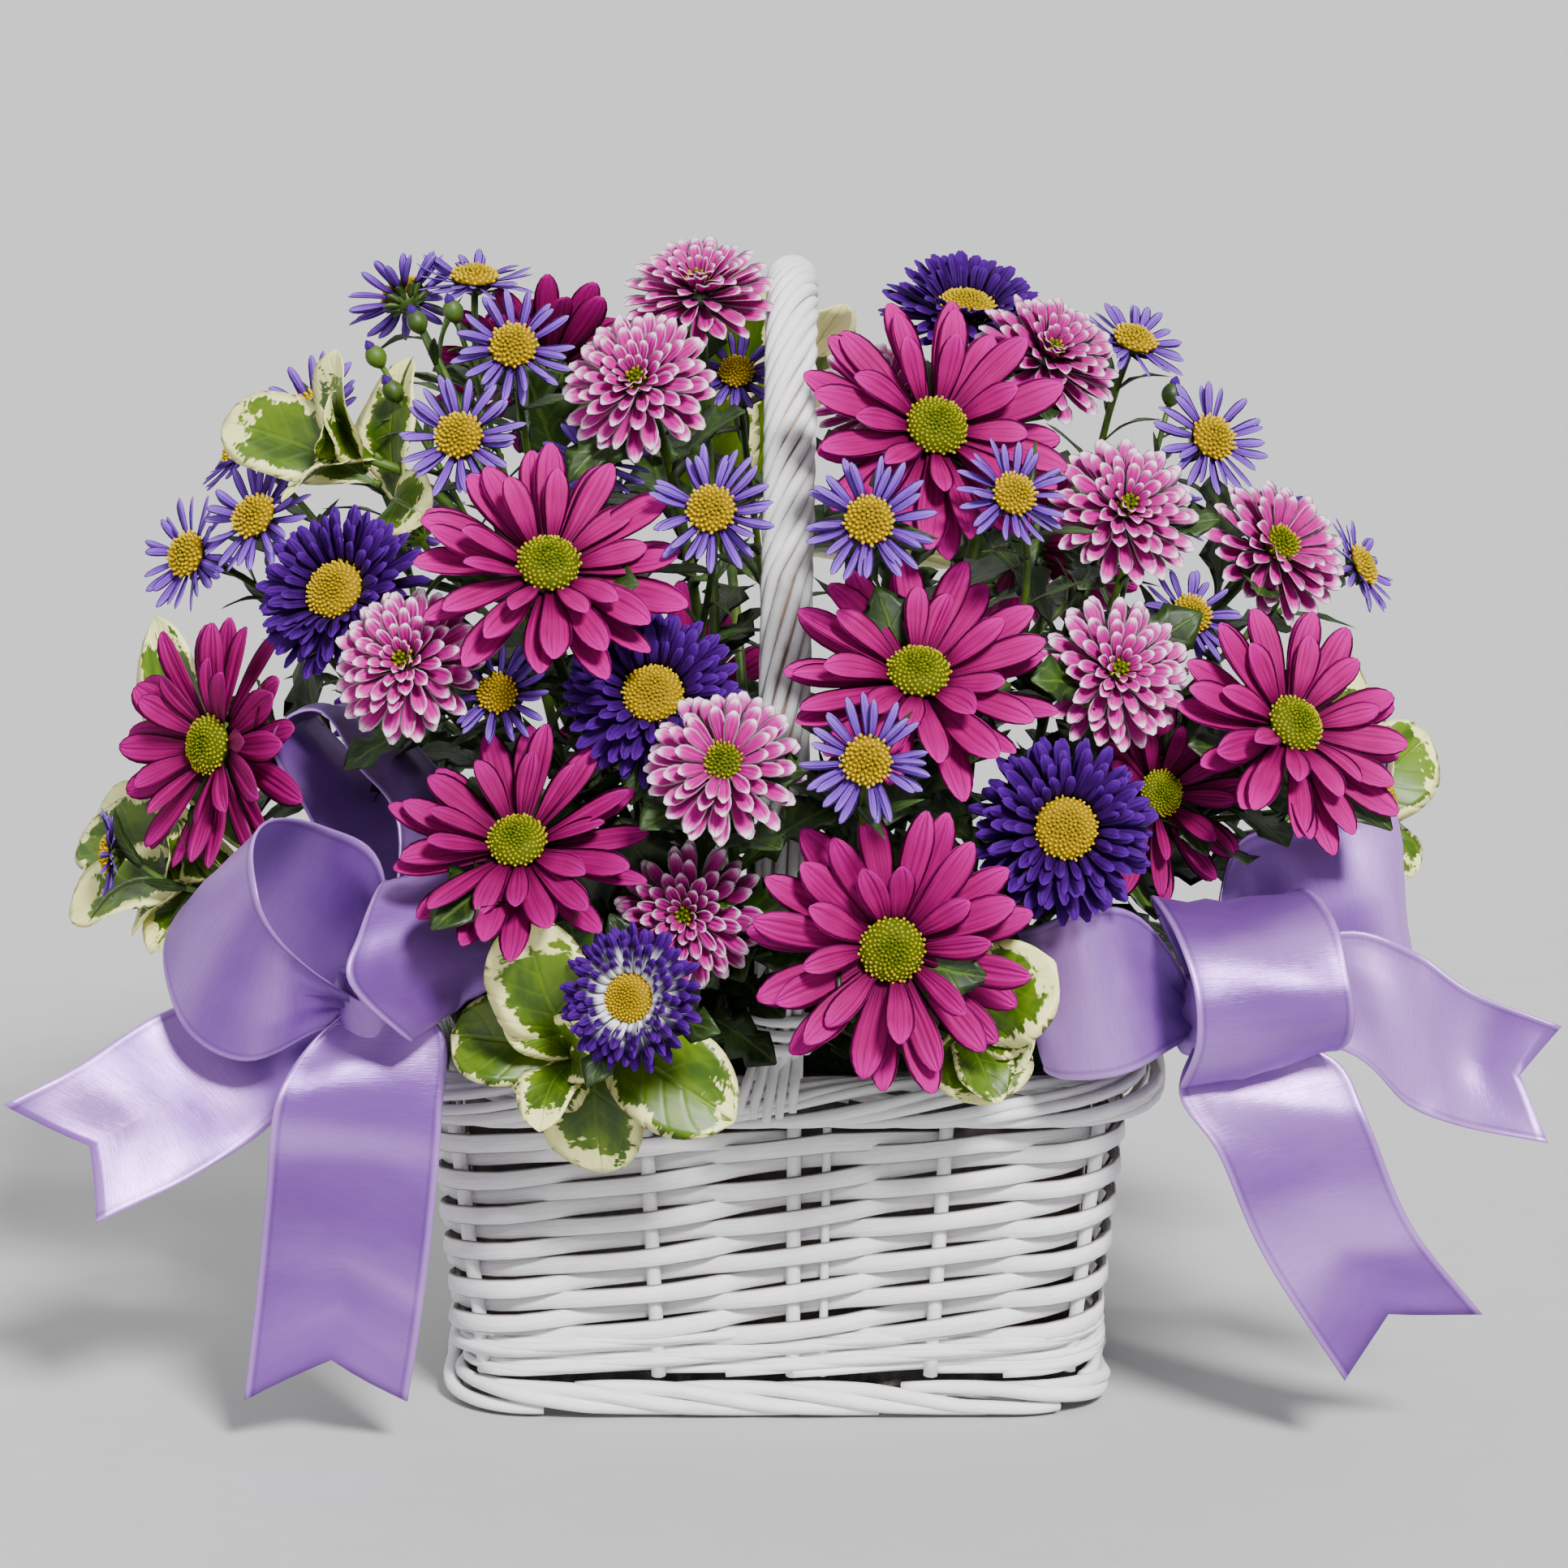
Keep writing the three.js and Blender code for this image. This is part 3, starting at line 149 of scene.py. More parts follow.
@dataclass(frozen=True)
class ReferenceView:
    """The camera of the reference picture, and the dome of flowers that its pixels are placed on."""

    middle: float = 966.0
    mm_per_pixel: float = 0.2
    distance: float = 1600.0
    elevation: float = 12.0
    aim: tuple[float, float, float] = (1.6, 0.0, 144.4)
    dome_centre: tuple[float, float, float] = (0.0, 0.0, 100.0)
    dome_radii: tuple[float, float, float] = (165.0, 108.0, 178.0)

    @property
    def forward(self) -> Array:
        """The direction in which the camera looks."""
        e = math.radians(self.elevation)
        return np.array([0.0, math.cos(e), -math.sin(e)])

    @property
    def upward(self) -> Array:
        """The direction of up in the picture."""
        e = math.radians(self.elevation)
        return np.array([0.0, math.sin(e), math.cos(e)])

    @property
    def eye(self) -> Array:
        """Where the camera stands."""
        return np.array(self.aim) - self.forward * self.distance

    def ray(self, px: float, py: float) -> Array:
        """The direction from the camera through a pixel."""
        scale = self.mm_per_pixel / self.distance
        across = np.array([(px - self.middle) * scale, 0.0, 0.0])
        return across + self.upward * (self.middle - py) * scale + self.forward

    def at_depth(self, px: float, py: float, y: float) -> Array:
        """The point seen at a pixel that lies at depth y."""
        ray = self.ray(px, py)
        return self.eye + ray * (y - self.eye[1]) / ray[1]

    def on_dome(self, px: float, py: float, lift: float) -> Array:
        """The point of the dome seen at a pixel, brought nearer to the camera by lift."""
        ray = self.ray(px, py)
        start = (self.eye - self.dome_centre) / np.array(self.dome_radii)
        along = ray / np.array(self.dome_radii)
        a, b, c = along @ along, start @ along, start @ start - 1.0
        reach = (-b - math.sqrt(max(b * b - a * c, 0.0))) / a
        return self.eye + ray * (reach - lift / np.linalg.norm(ray))


VIEW = ReferenceView()


# ------------------------ meshes
@lru_cache(maxsize=None)
def lattice(rows: int, around: int) -> Array:
    """The faces of a sleeve of rings, and of its two ends.

    Args:
        rows: how many rings it has.
        around: how many points each ring has, an even number.

    Returns:
        Its four-sided faces, as point numbers.
    """
    k = np.arange(rows - 1)[:, None]
    i = np.arange(around)[None, :]
    after, above = (i + 1) % around, k + 1
    faces = np.stack([k * around + i, k * around + after, above * around + after, above * around + i], -1)
    j = np.arange(around // 2 - 1)
    low = np.stack([j, around - 1 - j, around - 2 - j, j + 1], -1)
    high = (rows - 1) * around + np.stack([j, j + 1, around - 2 - j, around - 1 - j], -1)
    return np.concatenate([faces.reshape(-1, 4), low, high])


def reading_of(rings: Array, along: Array | float, across: Array | float, shade: Array | float) -> Array:
    """What the finishes read at each point of some rings.

    Args:
        rings: the points.
        along: how far along the piece each one lies.
        across: how far across it lies.
        shade: its shade, or a third place.

    Returns:
        Three numbers for each point.
    """
    reading = np.zeros(rings.shape)
    reading[..., 0], reading[..., 1], reading[..., 2] = along, across, shade
    return reading


class Sketch:
    """Collects the sleeves of which one piece is made, with what its finishes read at each point."""

    def __init__(self) -> None:
        """Starts an empty piece."""
        self.points: list[Array] = []
        self.readings: list[Array] = []
        self.tones: list[Array] = []
        self.faces: list[Array] = []
        self.finishes: list[Array] = []
        self.count = 0

    def sleeves(self, rings: Array, reading: Array, tone: Numbers | Array, finish: int = 0) -> None:
        """Adds closed skins that run from ring to ring.

        Args:
            rings: the points of each sleeve, as (sleeves, rings, points, 3) or without the first axis.
            reading: for each point how far along it is, how far across, and its shade.
            tone: three numbers for each whole sleeve: its tint, its heart and its chance number.
            finish: the number of the finish that it wears.
        """
        rings = rings[None] if rings.ndim == 3 else rings
        many, rows, around, _ = rings.shape
        faces = lattice(rows, around)
        starts = self.count + np.arange(many)[:, None, None] * rows * around
        self.points.append(rings.reshape(-1, 3))
        self.readings.append(np.broadcast_to(reading, rings.shape).reshape(-1, 3))
        tone = np.asarray(tone, float)
        tone = tone[:, None, None, :] if tone.ndim == 2 else tone
        self.tones.append(np.broadcast_to(tone, rings.shape).reshape(-1, 3))
        self.faces.append((faces[None] + starts).reshape(-1, 4))
        self.finishes.append(np.full(many * len(faces), finish))
        self.count += many * rows * around

    def rod(self, path: Array, radii: float | Array, tone: Numbers, finish: int = 0, sides: int = 8,
            start: Numbers = (1.0, 0.0, 0.0)) -> None:
        """Adds a round bar along a path.

        Args:
            path: the points of its middle line.
            radii: its radius, or one for each point.
            tone: its tint, heart and chance number.
            finish: the number of its finish.
            sides: how many points each ring has.
            start: the direction in which its first corner lies.
        """
        path = np.asarray(path, float)
        along = unit(np.gradient(path, axis=0))
        side = np.empty_like(path)
        current = np.asarray(start, float)
        for k, way in enumerate(along):
            current = current - way * (current @ way)
            current = current / np.linalg.norm(current)
            side[k] = current
        other = np.cross(along, side)
        turn = full_circle(sides)
        radii = np.broadcast_to(radii, len(path))[:, None, None]
        rings = (path[:, None] + side[:, None] * radii * np.cos(turn)[None, :, None]
                 + other[:, None] * radii * np.sin(turn)[None, :, None])
        walked = walked_along(path)[:, None]
        reading = reading_of(rings, walked / MM_PER_READING, np.cos(turn), np.sin(turn))
        self.sleeves(rings, reading, tone, finish)

    def blade(self, spine: Array, up: Array, half: Array, tone: Numbers, finish: int = 0, columns: int = 4,
              thick: float = 0.35, cup: float = 0.0, lift: Array | None = None,
              shade: float | Array = 0.5) -> None:
        """Adds a petal, leaf or other thin blade that is lens-shaped across.

        Args:
            spine: the points of its midrib.
            up: the way that its upper face looks, or one for each point.
            half: its half width at each point.
            tone: its tint, heart and chance number.
            finish: the number of its finish.
            columns: how many strips it has across.
            thick: its thickness at the midrib.
            cup: how far its edges rise, as a share of its half width.
            lift: more height for each point of the upper face, as (points, columns + 1).
            shade: its shade, or one for each point of the spine.
        """
        along = unit(np.gradient(spine, axis=0))
        side = unit(np.cross(along, np.broadcast_to(up, spine.shape)))
        face = np.cross(side, along)
        s = np.linspace(-1.0, 1.0, columns + 1)
        rise = cup * half[:, None] * s ** 2 + (0.0 if lift is None else lift)
        body = 0.5 * thick * (1.0 - s ** 2) * np.minimum(1.0, half / max(half.max() * 0.5, 1e-6))[:, None]
        flat = spine[:, None] + side[:, None] * (half[:, None] * s)[..., None]
        top = flat + face[:, None] * (rise + body)[..., None]
        under = flat + face[:, None] * (rise - body)[..., None]
        rings = np.concatenate([top, under[:, -2:0:-1]], axis=1)
        reading = reading_of(rings, np.linspace(0.0, 1.0, len(spine))[:, None],
                             np.concatenate([s, s[-2:0:-1]]), np.broadcast_to(shade, len(spine))[:, None])
        self.sleeves(rings, reading, tone, finish)

    def build(self, name: str, finishes: Sequence[Material]) -> bpy.types.Object:
        """Makes the mesh object.

        Args:
            name: what the piece is called.
            finishes: its materials, in the order of their numbers.

        Returns:
            The new object, in metres.
        """
        points = np.concatenate(self.points) * MM
        faces = np.concatenate(self.faces)
        mesh = bpy.data.meshes.new(name)
        mesh.vertices.add(len(points))
        mesh.vertices.foreach_set("co", points.astype(np.float32).ravel())
        mesh.loops.add(faces.size)
        mesh.loops.foreach_set("vertex_index", faces.astype(np.int32).ravel())
        mesh.polygons.add(len(faces))
        mesh.polygons.foreach_set("loop_start", np.arange(0, faces.size, 4, dtype=np.int32))
        mesh.polygons.foreach_set("material_index", np.concatenate(self.finishes).astype(np.int32))
        mesh.update(calc_edges=True)
        for label, values in (("reading", self.readings), ("tone", self.tones)):
            layer = mesh.attributes.new(label, "FLOAT_VECTOR", "POINT")
            layer.data.foreach_set("vector", np.concatenate(values).astype(np.float32).ravel())
        mesh.polygons.foreach_set("use_smooth", np.ones(len(faces), dtype=bool))
        for finish in finishes:
            mesh.materials.append(finish)
        piece = bpy.data.objects.new(name, mesh)
        bpy.context.scene.collection.objects.link(piece)
        return piece


def present(sketch: Sketch, name: str, finishes: Sequence[Material], slot: str,
            *nodes: str) -> bpy.types.Object:
    """Builds a piece, lets it ride on the basket and stand for its solids, and reports it.

    Args:
        sketch: what it is made of.
        name: what it is called.
        finishes: its materials.
        slot: the record's material slot for it; not used.
        nodes: the solids that it stands for.

    Returns:
        The new object.
    """
    piece = sketch.build(name, finishes)
    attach(piece, ROOT)
    if nodes:
        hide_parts(*nodes)
    log.info("%s: %d faces", name, len(piece.data.polygons))
    return piece


# ------------------------ finishes
def shown(red: int, green: int, blue: int) -> tuple[float, float, float, float]:
    """A colour as it looks on a screen, from 0 to 255, as the shader wants it."""
    linear = [((c / 255 + 0.055) / 1.055) ** 2.4 if c > 10 else c / 255 / 12.92 for c in (red, green, blue)]
    return (*linear, 1.0)


class Signal:
    """A number that varies over a surface. Arithmetic on it adds Math nodes."""

    def __init__(self, recipe: "Recipe", socket: Socket) -> None:
        """Wraps the output socket that carries it."""
        self.recipe = recipe
        self.socket = socket

    def _with(self, operation: str, *values: "Signal | float") -> "Signal":
        """The outcome of one Math operation on some values."""
        return self.recipe.math(operation, *values)

    def __add__(self, other: "Signal | float") -> "Signal":
        """The sum with another."""
        return self._with("ADD", self, other)

    __radd__ = __add__

    def __sub__(self, other: "Signal | float") -> "Signal":
        """What is left when another is taken away."""
        return self._with("SUBTRACT", self, other)

    def __rsub__(self, other: float) -> "Signal":
        """What is left of another when this is taken away."""
        return self._with("SUBTRACT", other, self)

    def __mul__(self, other: "Signal | float") -> "Signal":
        """The product with another."""
        return self._with("MULTIPLY", self, other)

    __rmul__ = __mul__

    def __pow__(self, power: float) -> "Signal":
        """This raised to a power."""
        return self._with("POWER", self, power)

    def __abs__(self) -> "Signal":
        """Its size without its sign."""
        return self._with("ABSOLUTE", self)

    def top(self, other: "Signal | float") -> "Signal":
        """The larger of this and another."""
        return self._with("MAXIMUM", self, other)

    def wave(self) -> "Signal":
        """Its sine."""
        return self._with("SINE", self)

    def step(self, low: "Signal | float", high: "Signal | float") -> "Signal":
        """A smooth step from 0 at low to 1 at high."""
        node = self.recipe.node("ShaderNodeMapRange", {"interpolation_type": "SMOOTHSTEP"},
                                {"Value": self, "From Min": low, "From Max": high})
        return Signal(self.recipe, node.outputs["Result"])


class Recipe:
    """A material that is put together node by node."""

    def __init__(self, name: str) -> None:
        """Starts a material that has only its shader and its output."""
        self.material = bpy.data.materials.new(name)
        self.material.use_nodes = True
        self.tree = self.material.node_tree
        self.tree.nodes.clear()

    def node(self, kind: str, settings: dict[str, object] | None = None,
             values: dict[str | int, object] | None = None) -> bpy.types.Node:
        """Adds any node.

        Args:
            kind: its type.
            settings: its own settings.
            values: what each input socket gets: a number, a vector, a Signal or another socket.

        Returns:
            The node.
        """
        node = self.tree.nodes.new(kind)
        for key, value in (settings or {}).items():
            setattr(node, key, value)
        for key, value in (values or {}).items():
            if isinstance(value, Signal):
                value = value.socket
            if isinstance(value, Socket):
                self.tree.links.new(value, node.inputs[key])
            else:
                node.inputs[key].default_value = value
        return node

    def math(self, operation: str, *values: Signal | float) -> Signal:
        """A Math node on some values, as a Signal."""
        node = self.node("ShaderNodeMath", {"operation": operation}, dict(enumerate(values)))
        return Signal(self, node.outputs[0])

    def attribute(self, name: str) -> tuple[Signal, ...]:
        """The three numbers of an attribute of the mesh."""
        node = self.node("ShaderNodeAttribute", {"attribute_name": name})
        parts = self.node("ShaderNodeSeparateXYZ", {}, {"Vector": node.outputs["Vector"]})
        return tuple(Signal(self, out) for out in parts.outputs)

    def noise(self, place: Socket | tuple[Signal | float, ...], scale: float,
              detail: float = 2.0, rough: float = 0.5) -> Signal:
        """Cloudy chance values from 0 to 1 at a place, which may be given as three numbers."""
        if isinstance(place, tuple):
            place = self.node("ShaderNodeCombineXYZ", {}, dict(enumerate(place))).outputs[0]
        node = self.node("ShaderNodeTexNoise", {}, {
            "Vector": place, "Scale": scale, "Detail": detail, "Roughness": rough})
        return Signal(self, node.outputs["Fac"])

    def place(self) -> Socket:
        """The point's place on the object, in metres."""
        return self.node("ShaderNodeTexCoord").outputs["Object"]

    def layers(self, colour: object, *others: tuple[Signal | float, object]) -> Socket:
        """Lays colours over each other.

        Args:
            colour: the lowest one.
            others: how much there is of each next one, and the colour itself.

        Returns:
            The socket of the mixed colour.
        """
        for share, other in others:
            mixed = self.node("ShaderNodeMix", {"data_type": "RGBA"}, {0: share, 6: colour, 7: other})
            colour = mixed.outputs[2]
        return colour

    def bump(self, height: Signal, distance: float, strength: float = 1.0) -> Socket:
        """A surface roughened by a height, in metres."""
        values = {"Height": height, "Distance": distance, "Strength": strength}
        return self.node("ShaderNodeBump", {}, values).outputs["Normal"]

    def surface(self, **values: object) -> Material:
        """Closes the recipe with a Principled shader.

        Args:
            values: its sockets' values, named with _ for a space.

        Returns:
            The finished material.
        """
        named = {" ".join(w.capitalize() if w != "ior" else "IOR" for w in key.split("_")): value
                 for key, value in values.items()}
        shader = self.node("ShaderNodeBsdfPrincipled", {}, named)
        self.node("ShaderNodeOutputMaterial", {}, {"Surface": shader.outputs["BSDF"]})
        return self.material


@dataclass(frozen=True)
class PetalFinish:
    """Petals: a colour that runs from the heart to the tip, fine lengthwise veins and a soft sheen, with
    painted shade towards each petal's foot and over blooms that sit in shadow.
    """

    name: str
    heart: Numbers
    middle: Numbers
    tip: Numbers
    deep: Numbers
    rim: Numbers
    rim_from: float = 1.0       # how far across the rim's colour starts
    tip_from: float = 0.6       # how far along the tip's colour starts
    veins: float = 7.0
    pale_heart: Numbers = (0.8, 0.78, 0.9, 1.0)
    roughness: float = 0.5

    def make(self) -> Material:
        """The material."""
        recipe = Recipe(self.name)
        along, across, shade = recipe.attribute("reading")
        tint, heart, chance = recipe.attribute("tone")
        streaks = recipe.noise((along * 1.6, across * self.veins, chance * 37.0), 1.0, 3.0, 0.6)
        patches = recipe.noise((along * 2.2, across * 1.1, chance * 19.0), 1.0, 2.0)
        edge = abs(across).top(along * 1.02 - 0.02).step(self.rim_from, self.rim_from + 0.2)
        colour = recipe.layers(
            self.heart,
            (along.step(0.02, 0.42), self.middle),
            (along.step(self.tip_from, 1.0) * 0.85, self.tip),
            (edge * (0.55 + 0.45 * patches), self.rim),
            (streaks.step(0.52, 0.78) * 0.4, self.tip),
            ((1.0 - streaks.step(0.28, 0.5)) * 0.45, self.deep),
            # painted shade: each petal is darker towards its foot
            ((1.0 - shade) * 0.9, self.deep),
            # painted shade: the bloom's tint darkens all its petals where it sits in shadow or faces away
            (tint, self.deep),
            (heart * (1.0 - along.step(0.25, 0.62)), self.pale_heart))
        ridges = (across * self.veins * 2.2 + patches * 2.0).wave() * 0.5 + streaks
        return recipe.surface(
            base_color=colour, roughness=self.roughness + 0.12 * streaks,
            normal=recipe.bump(ridges, 0.00035, 0.6), specular_ior_level=0.08)


@dataclass(frozen=True)
class DiscFinish:
    """The florets of a disc: green at its eye, golden at its edge, each a little different."""

    name: str
    eye: Numbers
    edge: Numbers
    deep: Numbers

    def make(self) -> Material:
        """The material."""
        recipe = Recipe(self.name)
        along, _, shade = recipe.attribute("reading")
        tint, _, chance = recipe.attribute("tone")
        colour = recipe.layers(
            self.eye,
            (tint.step(0.35, 0.95), self.edge),
            (chance * 0.35, self.edge),
            ((1.0 - along.step(0.1, 0.75)) * 0.7, self.deep),
            ((1.0 - shade) * 0.5, self.deep))
        grains = recipe.noise(recipe.place(), 2600.0, 2.0)
        return recipe.surface(base_color=colour, roughness=0.62 + 0.15 * grains,
                              normal=recipe.bump(grains, 0.0002, 0.4), specular_ior_level=0.1)


@dataclass(frozen=True)
class GreenFinish:
    """Stems, calyxes and plain leaves: a pale midrib with side veins on a mottled green."""

    name: str
    light: Numbers
    dark: Numbers
    vein: Numbers
    roughness: float = 0.42

    def make(self) -> Material:
        """The material."""
        recipe = Recipe(self.name)
        along, across, _ = recipe.attribute("reading")
        tint, leafy, chance = recipe.attribute("tone")
        clouds = recipe.noise(recipe.place(), 130.0, 3.0, 0.6)
        side_veins = ((along * 46.0 - abs(across) * 9.0 + chance * 9.0).wave() * 0.5 + 0.5) ** 6.0
        rib = 1.0 - abs(across).step(0.03, 0.12)
        veins = (side_veins * 0.35).top(rib) * leafy
        colour = recipe.layers(
            self.dark,
            (clouds.step(0.3, 0.7), self.light),
            (veins * 0.55, self.vein),
            (tint, self.dark))
        relief = clouds * 0.6 - veins
        return recipe.surface(base_color=colour, roughness=self.roughness + 0.2 * clouds,
                              normal=recipe.bump(relief, 0.0003, 0.6), specular_ior_level=0.45)


@dataclass(frozen=True)
class VariegatedFinish:
    """Variegated leaves: glossy green with a ragged cream margin that runs inwards in streaks."""

    name: str = "variegated_leaf"
    light: Numbers = shown(94, 124, 0)
    green: Numbers = shown(54, 84, 0)
    dark: Numbers = shown(22, 42, 0)
    cream: Numbers = shown(244, 240, 160)

    def make(self) -> Material:
        """The material."""
        recipe = Recipe(self.name)
        along, across, _ = recipe.attribute("reading")
        tint, width, chance = recipe.attribute("tone")
        side = across.step(-0.01, 0.01)
        streaks = recipe.noise((along * 9.0 + side * 31.0, abs(across) * 1.2, chance * 53.0),
                               1.0, 3.0, 0.75)
        broad = recipe.noise((along * 2.4 + side * 17.0, 0.0, chance * 29.0), 1.0, 1.0)
        outer = abs(across).top(along * 1.5 - 0.53)
        limit = 1.13 - width * 0.42 - broad * 0.3
        margin = (outer + (streaks - 0.5) * 0.95).step(limit, limit + 0.07)
        clouds = recipe.noise((along * 3.0, across * 2.0, chance * 11.0), 1.0, 3.0, 0.6)
        side_veins = ((along * 40.0 - abs(across) * 11.0).wave() * 0.5 + 0.5) ** 8.0
        rib = 1.0 - abs(across).step(0.015, 0.07)
        cream = recipe.layers(self.cream, (tint * 0.4, self.light))
        colour = recipe.layers(
            self.green,
            (clouds.step(0.35, 0.66), self.light),
            ((1.0 - outer.step(0.1, 0.75)) * 0.45, self.dark),
            (rib.top(side_veins * 0.4) * 0.5, self.light),
            (tint * 0.75, self.dark),
            (margin, cream))
        relief = clouds * 0.4 - rib - side_veins * 0.4
        return recipe.surface(base_color=colour, roughness=0.34 + 0.16 * clouds + 0.1 * margin,
                              normal=recipe.bump(relief, 0.0004, 0.6), specular_ior_level=0.35,
                              coat_weight=0.05, coat_roughness=0.3)


@dataclass(frozen=True)
class WillowFinish:
    """Peeled willow under worn white paint: fibres along the rod, warm marks where the paint is thin, and
    painted shade towards the edges of the flat strips.
    """

    name: str = "white_willow"
    paint: Numbers = shown(246, 245, 247)
    shade: Numbers = shown(206, 200, 200)
    wood: Numbers = shown(150, 122, 98)
    # the colour of the painted shade at the strips' edges
    strip_edge_shade: Numbers = shown(96, 82, 72)

    def make(self) -> Material:
        """The material."""
        recipe = Recipe(self.name)
        along, across, round_it = recipe.attribute("reading")
        tint, flat, chance = recipe.attribute("tone")
        fibres = recipe.noise((along * 0.9, across * 9.0, round_it * 9.0 + chance * 61.0), 1.0, 4.0, 0.65)
        blotches = recipe.noise((along * 0.6, across * 0.8, chance * 23.0), 1.0, 3.0, 0.6)
        cracks = recipe.noise((along * 1.3, across * 16.0 + 7.0, round_it * 6.0 + chance * 5.0),
                              1.0, 2.0, 0.8)
        colour = recipe.layers(
            self.paint,
            (fibres.step(0.42, 0.72) * 0.55, self.shade),
            (blotches.step(0.55, 0.75) * 0.45, self.shade),
            (cracks.step(0.68, 0.74) * 0.7, self.wood),
            # painted shade: the flat strips darken towards their edges, where they pass behind each other
            (abs(across).step(0.76, 1.0) * flat, self.strip_edge_shade),
            # tint: a little random warmth on each rod, and on the handle's core nearly bare wood, as
            # painted shade between the rods
            (tint, self.wood))
        return recipe.surface(base_color=colour, roughness=0.42 + 0.25 * fibres,
                              normal=recipe.bump(fibres + cracks * 0.6, 0.00035, 0.55),
                              specular_ior_level=0.4)


@dataclass(frozen=True)
class SatinFinish:
    """Lavender satin ribbon: fine threads across it, a soft shine, painted bands of sheen and shade along
    it, and a paler bound edge.
    """

    name: str = "lavender_satin"
    face: Numbers = shown(120, 68, 162)
    pale: Numbers = shown(184, 134, 218)
    deep: Numbers = shown(76, 30, 116)

    def make(self) -> Material:
        """The material."""
        recipe = Recipe(self.name)
        along, across, _ = recipe.attribute("reading")
        _, _, chance = recipe.attribute("tone")
        threads = recipe.noise((along * 60.0, across * 3.0, chance * 7.0), 1.0, 2.0, 0.6)
        creases = recipe.noise((along * 0.5, across * 0.5, chance * 13.0), 1.0, 3.0, 0.5)
        # painted sheen and shade: broad bands along the ribbon are painted paler and darker, standing in
        # for light and shade across its curves
        painted_sheen = recipe.noise((along * 0.34, across * 0.16, chance * 29.0), 1.0, 1.0)
        edge = abs(across).step(0.9, 0.965)
        seam = abs(across).step(0.86, 0.9) - edge
        colour = recipe.layers(
            self.face,
            (painted_sheen.step(0.46, 0.66) * 0.9, self.pale),
            ((1.0 - painted_sheen.step(0.3, 0.5)) * 0.3, self.deep),
            (creases.step(0.35, 0.7) * 0.2, self.pale),
            (threads.step(0.45, 0.7) * 0.18, self.deep),
            (seam * 0.35, self.deep),
            (edge * 0.6, self.pale))
        weave = threads * 0.12 + creases * 0.8
        return recipe.surface(base_color=colour, roughness=0.33 + 0.06 * threads,
                              normal=recipe.bump(weave, 0.0009, 0.35), metallic=0.45,
                              specular_ior_level=0.9, specular_tint=(0.93, 0.86, 1.0, 1.0),
                              anisotropic=0.4)


@dataclass(frozen=True)
class GrainyFinish:
    """A plain stuff with a grain: foam, liner film, bound wire or the studio floor."""

    name: str
    light: Numbers
    dark: Numbers
    grain: float
    depth: float
    roughness: float

    def make(self) -> Material:
        """The material."""
        recipe = Recipe(self.name)
        place = recipe.place()
        fine = recipe.noise(place, self.grain, 4.0, 0.7)
        broad = recipe.noise(place, self.grain * 0.08, 3.0, 0.5)
        colour = recipe.layers(
            self.dark,
            (fine.step(0.3, 0.7), self.light),
            (broad.step(0.4, 0.8) * 0.4, self.dark))
        return recipe.surface(base_color=colour, roughness=self.roughness + 0.1 * fine,
                              normal=recipe.bump(fine + broad, self.depth, 0.8), specular_ior_level=0.35)


class Wardrobe:
    """Every material of the part, made once and handed out by name."""

    def __init__(self) -> None:
        """Makes all the materials."""
        plans = [
            PetalFinish("magenta_petal", shown(82, 0, 46), shown(146, 0, 92), shown(184, 0, 132),
                        shown(50, 0, 26), shown(202, 10, 158), rim_from=0.88, tip_from=0.5),
            PetalFinish("cushion_petal", shown(110, 0, 70), shown(174, 8, 126), shown(220, 92, 184),
                        shown(88, 0, 58), shown(255, 240, 252), rim_from=0.74, tip_from=0.56, veins=4.0),
            PetalFinish("violet_petal", shown(26, 0, 44), shown(48, 0, 84), shown(78, 8, 134),
                        shown(16, 0, 30), shown(100, 34, 158), rim_from=0.9, tip_from=0.55, veins=3.0),
            PetalFinish("aster_petal", shown(86, 34, 140), shown(112, 60, 178), shown(146, 98, 214),
                        shown(62, 18, 114), shown(172, 132, 228), rim_from=0.9, tip_from=0.4, veins=4.0),
            DiscFinish("green_disc", shown(66, 88, 0), shown(176, 162, 0), shown(52, 64, 0)),
            DiscFinish("golden_disc", shown(150, 128, 0), shown(206, 172, 0), shown(110, 84, 0)),
            GreenFinish("stem_green", shown(72, 100, 10), shown(24, 44, 4), shown(120, 150, 50)),
            GreenFinish("dark_leaf", shown(44, 74, 4), shown(14, 30, 2), shown(86, 116, 26)),
            VariegatedFinish(), WillowFinish(), SatinFinish(),
            GrainyFinish("wet_foam", shown(52, 84, 44), shown(24, 44, 22), 900.0, 0.0006, 0.85),
            # the liner is painted dark as painted shade, so that the gaps in the wall look dark
            GrainyFinish("liner_film_painted_shade", shown(84, 78, 74), shown(48, 44, 42), 160.0, 0.0005, 0.45),
            GrainyFinish("bound_wire", shown(84, 104, 62), shown(50, 66, 36), 1400.0, 0.0002, 0.6),
            GrainyFinish("studio_floor", shown(180, 180, 180), shown(177, 177, 177), 60.0, 0.0001, 0.8),
        ]
        self._made = {plan.name: plan.make() for plan in plans}

    def __getitem__(self, name: str) -> Material:
        """The material of that name."""
        return self._made[name]


